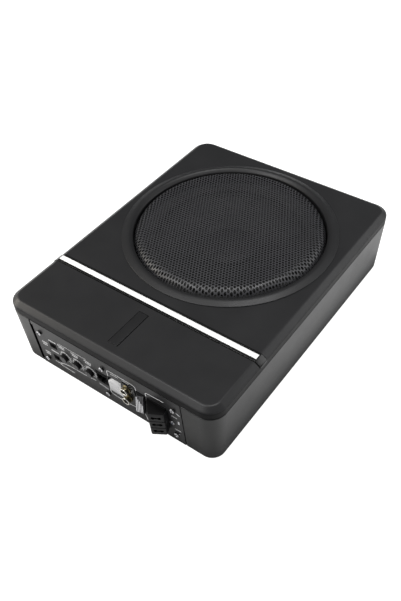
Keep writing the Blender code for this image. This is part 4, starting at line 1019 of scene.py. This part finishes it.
def screw(name, place, radius, height, finishes, node, turn=0.3, shank=-4 * MM):
    """Screw with its shank; the bright zinc ring round the recess is a painted highlight, and the
    rest of the head is black.
    """
    head = cross_head(radius, height, turn)
    stem = revolve(np.array([(0.5 * radius, shank), (0.0, shank)]), head.shape[1])
    points = np.concatenate([head, stem])
    faces = grid_faces(*points.shape[:2], False, True)
    middle = points.reshape(-1, 3)[faces].mean(1)
    away = np.hypot(middle[:, 0], middle[:, 1]) / radius
    # Painted highlight: the ring round the recess is bright zinc; every other face of the head and
    # shank is black.
    dark = (away > 0.93) | (away < 0.42) | (middle[:, 2] < 0.45 * height)
    mesh = as_mesh(name, place(points), faces)
    paint(mesh, dark)
    return keep(name, mesh, finishes, stands_for=node, slot="zinc")


panel_screws = [(-84.0, -13.0), (-84.0, -52.3), (-3.6, -13.0), (-3.6, -52.3), (79.0, -13.0),
                (79.0, -52.3)]
for i, (x, height) in enumerate(panel_screws):
    screw(f"panel_screw_head_{i + 1}", at_spot(x * MM, height * MM), 2.7 * MM, 2.5 * MM,
          [zinc, black_oxide], f"panel_screw_{i + 1}", 0.3 + 0.7 * i)
print("panel screws:", len(panel_screws))


# %% Underneath
def facing_down(spot, z):
    """Places an upright piece so that its top looks down, at a height z."""
    return lambda points: np.stack([spot[0] + points[..., 0], spot[1] - points[..., 1],
                                    z - points[..., 2]], -1)


for i, spot in enumerate(screw_spots):
    screw(f"case_screw_head_{i + 1}", facing_down(spot, UNDER + 1.4 * MM), 3.9 * MM, 1.25 * MM,
          [zinc, black_oxide], f"case_screw_{i + 1}", 0.2 + 0.9 * i)
foot_profile = fillet(mm((0.0, 0.5), (2.2, 0.5), (2.6, 0.0), (6.7, 0.0), (7.0, 2.2), (0.0, 2.2)),
                      0.35 * MM, 4, closed=False)
for i, spot in enumerate(foot_spots):
    turned(f"rubber_foot_{i + 1}", foot_profile, rubber, 48, spot[:2], loop=False,
           stands_for=f"foot_{i + 1}", slot="rubber_black")
print("case screws and feet:", len(screw_spots) + len(foot_spots))

# %% [markdown]
# ## Knobs, switches and the remote socket
# A knob is a turned cap whose flank is fluted: the radius gets a small wave that grows only on
# the flank. The pointer is a shallow slot from near the middle of the face to its edge. Each
# slider has three grip ridges.

# %% Knobs
def fluted(x, height, flutes=20):
    """Turned cap with a wave on its flank: radius * (1 - depth * wave(angle))."""
    profile = fillet(mm((0.0, 4.0), (4.4, 4.0), (4.4, 0.35), (1.9, 0.35), (1.9, 2.9), (0.0, 2.9)),
                     mm(0, 0.7, 0.3, 0, 0, 0), 5, closed=False)
    points = revolve(profile, 160)
    angle = np.arctan2(points[..., 1], points[..., 0])
    flank = (np.hypot(points[..., 0], points[..., 1]) > 4.0 * MM)[..., None]
    wave = 0.5 + 0.5 * np.cos(flutes * angle)
    points[..., :2] *= np.where(flank, 1 - 0.06 * wave[..., None] ** 2, 1.0)
    slot = step_up(0.45 * MM - np.abs(points[..., 0]), 0.15 * MM) * (points[..., 1] > 0.4 * MM)
    points[..., 2] -= np.where(points[..., 2] > 3.9 * MM, 0.5 * MM * slot, 0.0)
    return at_spot(x, height)(points), len(profile)


knob_row = -32.0 * MM
for i, node in enumerate(("level_knob", "filter_knob", "bass_knob")):
    points, rows = fluted((-55.2 + 16.5 * i) * MM, knob_row)
    knob = keep(node + "_cap", as_mesh(node, points, grid_faces(rows, 160, False, True)),
                [black_plastic, painted_light_knob_face], node, node, "black_plastic", 45.0)
    # Painted light: the faces that look out of the panel take a lighter plastic than the dark
    # flank, for the light that falls on them.
    paint(knob.data, OUT_OF_PANEL @ face_table(knob.data)[3:] > 0.8)
print("knobs at height", round(knob_row * 1e3, 1), "mm")

# %% Switches
for name, at in (("phase", -24.2), ("input", -43.4)):
    switch_frame = box_mesh("frame", mm(-73.9, -0.2, at - 3.5), mm(-64.9, 0.35, at + 3.5),
                            on_panel, 0.15 * MM, 3)
    window = box_mesh("window", mm(-72.9, -1.0, at - 2.6), mm(-65.7, 1.0, at + 2.6), on_panel)
    keep(f"{name}_switch_frame", cut(switch_frame, [window], "switch_frame"), deep_black_and_painted_shade,
         slot="black_plastic")
    boxes = [soft_box_points(mm(-72.5, -2.2, at - 2.1), mm(-69.1, 0.3, at + 2.1), 0.3 * MM)]
    for x in (-72.0, -71.05, -70.1):
        boxes.append(soft_box_points(mm(x, 0.1, at - 1.9), mm(x + 0.5, 0.8, at + 1.9), 0.2 * MM))
    points = np.concatenate([box[0] for box in boxes])
    starts = np.cumsum([0] + [len(box[0]) for box in boxes[:-1]])
    faces = np.concatenate([box[1] + start for box, start in zip(boxes, starts)])
    keep(f"{name}_slider_cap", as_mesh(name, on_panel(points), faces), deep_black_and_painted_shade,
         f"{name}_slider", f"{name}_slider", "black_plastic")
print("switches: 2")

# %% [markdown]
# The remote socket takes a modular plug: a box with a stepped mouth for the latch and six thin
# contacts on the floor of the bore. The box is rounded first and then cut.

# %% The remote socket
DEPTH = -11.7                     # how far back the sockets' bodies reach, in mm
shell = box_mesh("remote_shell", mm(-14, DEPTH, -38.8), mm(0.0, 0.3, -22), on_panel, 0.35 * MM, 3)
mouth = [box_mesh("bore", mm(-12.6, -8.7, -34.6), mm(-1.4, 3, -26.2), on_panel),
         box_mesh("latch", mm(-9.2, -7.0, -37.2), mm(-4.8, 3, -34.0), on_panel)]
keep("remote_shell", cut(shell, mouth, "remote"), deep_black_and_painted_shade, stands_for="remote_socket",
     slot="black_plastic")
for k in range(6):
    x = -10.2 + 1.27 * k
    soft_box(f"remote_contact_{k + 1}", mm(x, -8.4, -27.4), mm(x + 0.4, -2.6, -26.9), 0.15 * MM,
             gold, on_panel, 2, slot="nickel")
print("remote socket's contacts:", 6)

# %% [markdown]
# ## Signal sockets
# The white speaker input is one moulding with a bevelled corner and two moulded lines. Each
# phono jack has a shank of dulled brass and a bright plated lip, turned round a black
# insulator, and both jacks stand on one black block.

# %% The speaker input
shape = fillet(mm((1.2, -42.0), (18.0, -42.0), (18.0, -20.4), (8.2, -20.4), (1.2, -27.4)),
               0.8 * MM, 4)
rings = [np.insert(drawn_in(shape, tuck * MM), 1, out * MM, axis=1)
         for out, tuck in ((DEPTH, 0.0), (0.15, 0.0), (0.55, 0.12), (0.8, 0.5))]
block = prism("input_block", on_panel(np.stack(rings)))
lines = [box_mesh("line", mm(2.6, 0.55, height), mm(16.6, 2, height + 0.35), on_panel)
         for height in (-35.3, -28.6)]
keep("speaker_input_block", cut(block, lines, "input"), nylon, stands_for="speaker_input",
     slot="white_nylon")
print("speaker input:", len(shape), "points round its outline")

# %% The phono jacks
soft_box("jack_block", mm(19.6, DEPTH, -45), mm(34.8, 1.0, -15.8), 0.5 * MM, glossy_black,
         on_panel, stands_for="rca_block", slot="black_plastic")
shank_profile = fillet([(3.25, 1.05), (3.25, 5.1), (4.1, 5.1), (4.1, 2.2), (4.6, 1.9),
                        (4.9, 1.05)], 0.15, 3) * MM
lip_profile = fillet([(3.15, 3.0), (3.15, 6.0), (4.3, 6.0), (4.3, 5.05), (3.6, 5.05),
                      (3.6, 3.0)], 0.2, 4) * MM
insulator_profile = fillet([(0.0, 4.3), (0.9, 4.3), (1.5, 3.4), (2.9, 4.6), (3.22, 4.6),
                            (3.22, 1.4), (0.0, 1.4)], 0.15, 3, closed=False) * MM
jack_heights = {"rca_jack_upper": -21.6, "rca_jack_lower": -36.2}
for node, height in jack_heights.items():
    place = at_spot(25.4 * MM, height * MM)
    turned(node + "_shank", shank_profile, aged_brass, 64, place=place, stands_for=node,
           slot="nickel")
    turned(node + "_lip", lip_profile, nickel, 64, place=place, slot="nickel")
    turned(node + "_insulator", insulator_profile, deep_black_and_painted_shade, 48, place=place, loop=False,
           slot="black_plastic")
print("jacks at", list(jack_heights.values()))

# %% [markdown]
# The multi-pin socket is a pale moulding with upright fins. A fin is a narrow rounded
# rectangle across, and a blunt arch along the panel's height. The flanks and the upper end of
# each fin lie in shade between the others, so a darker plastic paints that shade on them. The
# base between the fins is near black, as painted shade.

# %% The finned socket
# Painted shade: the base between the fins is near black.
soft_box("finned_base", mm(36.6, DEPTH, -47.0), mm(46.4, 0.7, -17.2), 0.3 * MM, deep_black_and_painted_shade,
         on_panel, stands_for="multi_pin_socket", slot="white_nylon")


def fin(x, width, low, high, reach, lean=0.06):
    """Fin with a blunt arch along its length, higher at its lower end.

    For t from -1 to 1 the arch is the square root of 1 - 0.9 t^6, times a slope in t."""
    along = np.linspace(-1.0, 1.0, 25)
    top = 0.6 * MM + reach * np.sqrt(1 - 0.9 * along ** 6) * (0.66 - 0.34 * along)
    middle, half = (low + high) / 2, (high - low) / 2
    section = fillet([(-width / 2, 0.0), (width / 2, 0.0), (width / 2, 1.0), (-width / 2, 1.0)],
                     [0, 0, 0.35 * width, 0.35 * width], 4)
    share = np.clip(section[:, 1], 0, 1)
    points = np.stack([x + section[None, :, 0] + lean * half * along[:, None],
                       top[:, None] * share[None, :],
                       middle + half * along[:, None] + 0 * share[None, :]], -1)
    count = len(section)
    ends = [range(count), range(24 * count, 25 * count)]
    return points, grid_faces(25, count, False, True), ends


for k in range(5):
    points, faces, ends = fin((36.0 + 1.95 * k) * MM, 1.15 * MM, (-49.8 + 0.8 * k) * MM,
                              (-23.6 + 1.1 * k) * MM, 3.9 * MM)
    made = as_mesh("fin", on_panel(points), faces, ends)
    x, y, z, *normal = face_table(made)
    # Painted shade: the flanks and the upper end of each fin take the darker plastic.
    flank = np.abs(OUT_OF_PANEL @ np.array(normal)) < 0.45
    paint(made, flank | (z > SEAM - (25.0 + 1.7 * k) * MM))
    keep(f"socket_fin_{k + 1}", made, [clear_grey, fin_painted_shade], slot="white_nylon")
print("fins: 5")

# %% [markdown]
# ## The power plug
# Three cells side by side in one angled moulding: the wires leave its slanted face. The body
# is a prism over its plan, with soft edges, and grows taller towards its outer end. Two
# grooves part the cells, and a slot with round ends lies in each.

# %% The plug's body
plug_low, plug_high = -49.8 * MM, -18.4 * MM
plan = mm((48.6, 0.8), (59.4, 13.2), (72.6, 6.6), (71.4, 0.8))
loop = fillet(plan, mm(0.2, 1.2, 0.9, 0.2), 5)
edge = 0.8 * MM
eased = [(0.0, edge), (0.25 * edge, 0.3 * edge), (edge, 0.0)]       # height, and inset


def flare(out, height):
    """Heights on the plug once its outer end is made taller, most of it downwards."""
    share = np.clip((height - plug_low) / (plug_high - plug_low), 0.0, 1.0)
    return height - (0.26 - 0.28 * share) * np.clip(out - 0.8 * MM, 0.0, None)


levels = [(plug_low + rise * 2.2, inset * 1.3) for rise, inset in eased]
levels += [(plug_high - rise, inset) for rise, inset in eased[::-1]]
rings = np.stack([np.insert(drawn_in(loop, inset), 2, z, axis=1) for z, inset in levels])
rings[..., 2] = flare(rings[..., 1], rings[..., 2])
body = prism("plug", on_panel(rings))
print("plug before cutting:", len(body.polygons), "faces")

# %% Slots and grooves
face_mid = (plan[1] + plan[2]) / 2
run = (plan[2] - plan[1]) / np.linalg.norm(plan[2] - plan[1])


def on_slant(points):
    """(across, out, up) on the plug's slanted face to the panel, then to the world."""
    x = face_mid[0] + run[0] * points[..., 0] - run[1] * points[..., 1]
    out = face_mid[1] + run[1] * points[..., 0] + run[0] * points[..., 1]
    return on_panel(np.stack([x, out, points[..., 2] - 0.13 * (out - 0.8 * MM)], -1))


# The outline of a slot: a straight middle between two larger round ends.
turn = np.radians(np.linspace(-145, 145, 15))
round_end = np.stack([3.0 + 1.95 * np.cos(turn), 1.95 * np.sin(turn)], -1)
bone = np.concatenate([round_end, -round_end]) * MM
cell, middle_cell = 10.5, -34.1
tools = []
for k in (-1, 0, 1):
    outline = bone + mm(0.0, middle_cell + k * cell)
    tools.append(prism("slot", on_slant(np.stack([np.insert(outline, 1, out, axis=1)
                                                  for out in mm(-4, 3)]))))
for k in (-0.5, 0.5):
    height = middle_cell + k * cell
    tools.append(box_mesh("groove", mm(-25, -0.8, height - 0.5), mm(25, 5, height + 0.5),
                          on_slant))
body = cut(body, tools, "plug")
# Painted shade: the faces that look up take the near-black finish, darker than the rest of the
# plug.
paint(body, UP_PANEL @ face_table(body)[3:] > 0.8)
keep("plug_body", body, [plug_plastic, deep_black_and_painted_shade], "power_plug", "power_plug",
     "black_plastic", 35.0)
soft_box("plug_tongue", mm(50.9, -7.8, -48.8), mm(68.1, 1.2, -19.6), 0.4 * MM, plug_plastic,
         on_panel, body="power_plug", slot="black_plastic")
print("plug faces:", len(body.polygons))

# %% [markdown]
# ## The lamp and the print
# The lamp is a small domed lens. The panel's print is thin ink: lines, dial arcs and rows of
# small plain bars where a product would have words. A ribbon follows each line, and is lifted
# by the thickness of the ink.

# %% The lamp
lamp_profile = fillet([(0.0, 1.2), (1.2, 1.1), (1.6, 0.5), (1.6, -5.0), (0.0, -5.0)],
                      [0, 0.4, 0.3, 0, 0], 5, closed=False) * MM
lamp_place = at_spot(75 * MM, -36.9 * MM)
turned("lamp_lens", lamp_profile, lens_plastic, 40, place=lamp_place, loop=False,
       stands_for="power_led", slot="lens")
bezel = fillet([(1.75, 0.05), (1.75, 0.5), (2.5, 0.5), (2.7, 0.05)], 0.15, 3) * MM
turned("lamp_bezel", bezel, zinc, 48, place=lamp_place, slot="zinc")
print("lamp", round(lamp_profile[:, 0].max() * 2e3, 1), "mm across")


# %% Ribbons of ink
def ribbon(line, width, thick=0.06 * MM, lift=0.02 * MM):
    """Flat ribbon along a line on the panel: each point gives two, half a width to each side."""
    line = np.asarray(line, float) * MM
    run = np.gradient(line, axis=0)
    run /= np.linalg.norm(run, axis=1, keepdims=True)
    across = np.stack([-run[:, 1], run[:, 0]], -1) * width * MM / 2
    left, right = line - across, line + across
    rails = [(left, lift), (right, lift), (right, lift + thick), (left, lift + thick)]
    return np.stack([np.insert(rail, 1, depth, axis=1) for rail, depth in rails], 1)


def ink_piece(name, ribbons, finish):
    """All the ribbons of one ink as one piece."""
    faces, ends, start = [], [], 0
    for points in ribbons:
        many = len(points)
        faces.append(grid_faces(many, 4, False, True, start))
        ends += [range(start, start + 4), range(start + 4 * (many - 1), start + 4 * many)]
        start += 4 * many
    points = np.concatenate([points.reshape(-1, 3) for points in ribbons])
    mesh = as_mesh(name, on_panel(points), np.concatenate(faces), ends)
    return keep(name, mesh, finish, slot="white_nylon")


def bars(x, height, count, tall=1.5, wide=0.85, gap=0.4, slope=0.0):
    """A row of small upright bars: a plain stand-in for a label."""
    made = []
    for k, share in enumerate(np.resize([1.0, 0.7, 1.0, 0.85], count)):
        at = x + (wide + gap) * k
        middle, half = height + slope * (at - x), tall / 2 * share
        made.append(ribbon([(at, middle - half), (at, middle + half)], wide))
    return made


def arc(x, height, radius, first, last, width=0.35, steps=24):
    """Ribbon along part of a circle, between two angles in degrees."""
    a = np.radians(np.linspace(first, last, steps))
    return ribbon(np.stack([x + radius * np.cos(a), height + radius * np.sin(a)], -1), width)


print("a ribbon of two points has", ribbon([(0, 0), (1, 0)], 1.0).size // 3, "points")

# %% The print
# All places are (along, up) on the panel, in millimetres.
white = [ribbon(line, 0.85) for line in (
    [(2.2, -20.0), (2.2, -14.0), (3.0, -11.2), (5.0, -10.6), (20.0, -10.7), (33.5, -10.8),
     (35.6, -12.2), (36.4, -17.0)],
    [(-0.2, -42.8), (0.6, -46.6), (3.0, -49.0), (10.0, -49.4), (20.0, -49.0), (29.0, -48.4),
     (35.0, -48.2)],
    [(47.9, -16.6), (47.9, -12.4), (49.2, -10.9), (56.0, -10.3), (68.8, -9.6)],
    [(38.0, -49.0), (40.6, -49.6), (42.4, -53.0), (43.6, -59.0)],
    [(-67.0, -49.8), (-60.0, -47.0), (-50.6, -45.2), (-33.1, -44.6), (-17.6, -42.6)],
    [(-68.0, -52.6), (-58.0, -53.4), (-48.7, -53.6)],
    [(81.6, -15.6), (86.0, -17.6)], [(77.0, -44.9), (84.4, -44.4)])]
for x in (-55.2, -38.7, -22.2):
    white += [arc(x, -32.0, 6.0, -60, 240, 0.6), arc(x, -32.0, 7.3, -50, 130, 0.5)]
    for a in np.radians(np.linspace(-40, 220, 9)):
        white += [ribbon([(x + r * math.cos(a), -32 + r * math.sin(a)) for r in (7.4, 8.3)], 0.35)]
for x, height in ((-61.0, -16.8), (-43.6, -17.2), (-26.6, -16.6)):
    white += bars(x, height, 7, 2.0, slope=-0.12) + bars(x + 0.8, height - 2.8, 6, 1.8, slope=-0.12)
white += [ribbon([(-60.0, -14.5), (-24.0, -14.0)], 0.45)]
for x, height, count, tall in ((-73.4, -17.6, 8, 2.0), (-74.0, -33.6, 8, 2.2),
                               (-73.6, -51.2, 7, 1.4), (-84.6, -26.8, 6, 2.2),
                               (-84.2, -30.0, 5, 2.2), (-85.0, -42.0, 6, 2.0),
                               (-84.6, -45.0, 5, 2.0), (78.0, -51.0, 4, 1.4),
                               (76.6, -24.4, 5, 1.2)):
    white += bars(x, height, count, tall)
white += bars(7.0, -13.6, 9, 1.2, 0.6) + bars(21.0, -13.6, 8, 1.2, 0.6)
white += [ribbon([(83.2, -33.0), (83.2, -28.6)], 1.7)]
print("print ribbons:", len(ink_piece("panel_print", white, ink).data.polygons) // 6)
ink_piece("panel_print_grey", [ribbon([(-13.8, -44.0), (-8.0, -44.6), (-2.6, -45.6)], 2.4)],
          grey_ink)

# %% [markdown]
# ## The woofer behind the grille
# Through the holes one sees the cone, the cap and the rubber roll. The cone gets shallow
# rings, a cosine added to its height, and the cap is a quarter of an ellipse, turned. The roll,
# half a circle in section, joins the moving cone to the fixed basket. It is made of narrow
# sectors, straight out from the axis. The spider under it is made the same way, with a sine
# for its waves.

# %% Cone and cap
cone_low, cone_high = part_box("cone")
cap_low, cap_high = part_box("dust_cap")
r = mm(*np.linspace(72.9, 19.8, 60))
share = (r[0] - r) / (r[0] - r[-1])
ripple = 0.18 * MM
face_z = (cone_high.z - (cone_high.z - cone_low.z - MM) * share
          + ripple * np.cos(share * 12 * np.pi) - ripple)
top_side = np.stack([r, face_z], -1)
rim_side = np.array([(77.2 * MM, cone_high.z - MM), (77.2 * MM, cone_high.z)])
cone_profile = np.concatenate([rim_side, top_side, top_side[::-1] - (0.0, MM)])
turned("paper_cone", cone_profile, pulp, 128, AXIS, body="cone_assembly", stands_for="cone",
       slot="pulp", sharp=60.0)
t = np.linspace(0.0, np.pi / 2, 24)
cap_r, cap_h = (cap_high.x - cap_low.x) / 2, cap_high.z - cap_low.z
dome, under = (np.stack([(cap_r - thick) * np.sin(t), cap_low.z + (cap_h - thick) * np.cos(t)], -1)
               for thick in mm(0.0, 0.8))
turned("dust_cap_dome", np.concatenate([dome, under[::-1]]), pulp, 96, AXIS,
       body="cone_assembly", stands_for="dust_cap", slot="pulp", loop=False)
print("cap", round(cap_r * 2e3, 1), "mm across")


# %% Roll and spider in sectors
def bending_ring(name, profile, sectors, node, finish, slot, per=6):
    """Closed sectors of a turned ring, each its own piece, reaching from the case at its rim to the
    cone inside.
    """
    for k in range(sectors):
        first = 2 * np.pi * k / sectors
        points = revolve(profile, per, first, 2 * np.pi / sectors) + np.array([*AXIS, 0.0])
        rows, columns = points.shape[:2]
        near = np.arange(rows) * columns
        mesh = as_mesh(name, points, grid_faces(rows, columns, True, False),
                       [near.tolist(), (near[::-1] + columns - 1).tolist()])
        piece = keep(f"{name}_{k + 1:02d}", mesh, finish, body=None, stands_for=node, slot=slot,
                     sharp=60.0)
        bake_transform(piece)


a = np.linspace(0.0, np.pi, 13)
mid_r, half_r, base_z = 82.3 * MM, 4.7 * MM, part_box("surround")[0].z
over, below = (np.stack([mid_r + radius * np.cos(a), base_z + lift + radius * np.sin(a)], -1)
               for radius, lift in ((half_r + 0.5 * MM, MM), (half_r - 0.5 * MM, 0.0)))
roll_profile = np.concatenate([[(91.5 * MM, base_z + MM), (91.5 * MM, base_z)], below,
                               [(73.4 * MM, base_z), (73.4 * MM, base_z + MM)], over[::-1]])
bending_ring("rubber_roll", roll_profile, 24, "surround", rubber, "rubber_black")
r = np.linspace(19.8, 55.9, 61) * MM
wavy_from, wavy_to = mm(22.8, 43.8)
waves = 1.1 * MM * np.sin((r - wavy_from) / (wavy_to - wavy_from) * 8 * np.pi)
waves *= (r > wavy_from) & (r < wavy_to)
mid = middle_of("spider").z
sheet_top = np.stack([r, mid + 0.3 * MM + waves], -1)
bending_ring("cloth_spider", np.concatenate([sheet_top, sheet_top[::-1] - (0.0, 0.6 * MM)]), 16,
             "spider", cloth, "cloth")

# %% [markdown]
# ## What stays as it was modelled
# Boards, motor, basket and controls keep their solids, because their shapes are right and they
# are seen only when the unit is opened. Each still gets the finish of its material.

# %% Finish the remaining solids
kept = {"driver_basket": grille_coat, "top_plate": zinc, "pole_yoke": zinc, "magnet": ferrite,
        "voice_coil": copper, "transformer": copper, "driver_terminal": black_plastic,
        "speaker_lead": rubber, "main_board": board, "control_board": board,
        "capacitor": glossy_black, "control_panel": panel_coat, "phase_switch": black_plastic,
        "input_switch": black_plastic, "power_socket": black_plastic, "pot_1": zinc,
        "pot_2": zinc, "pot_3": zinc}
kept |= {f"driver_screw_{i}": black_oxide for i in range(1, 5)}
for node, finish in kept.items():
    solid_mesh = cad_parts[node].data
    solid_mesh.materials.clear()
    solid_mesh.materials.append(finish.material)
print("solids kept:", len(kept))
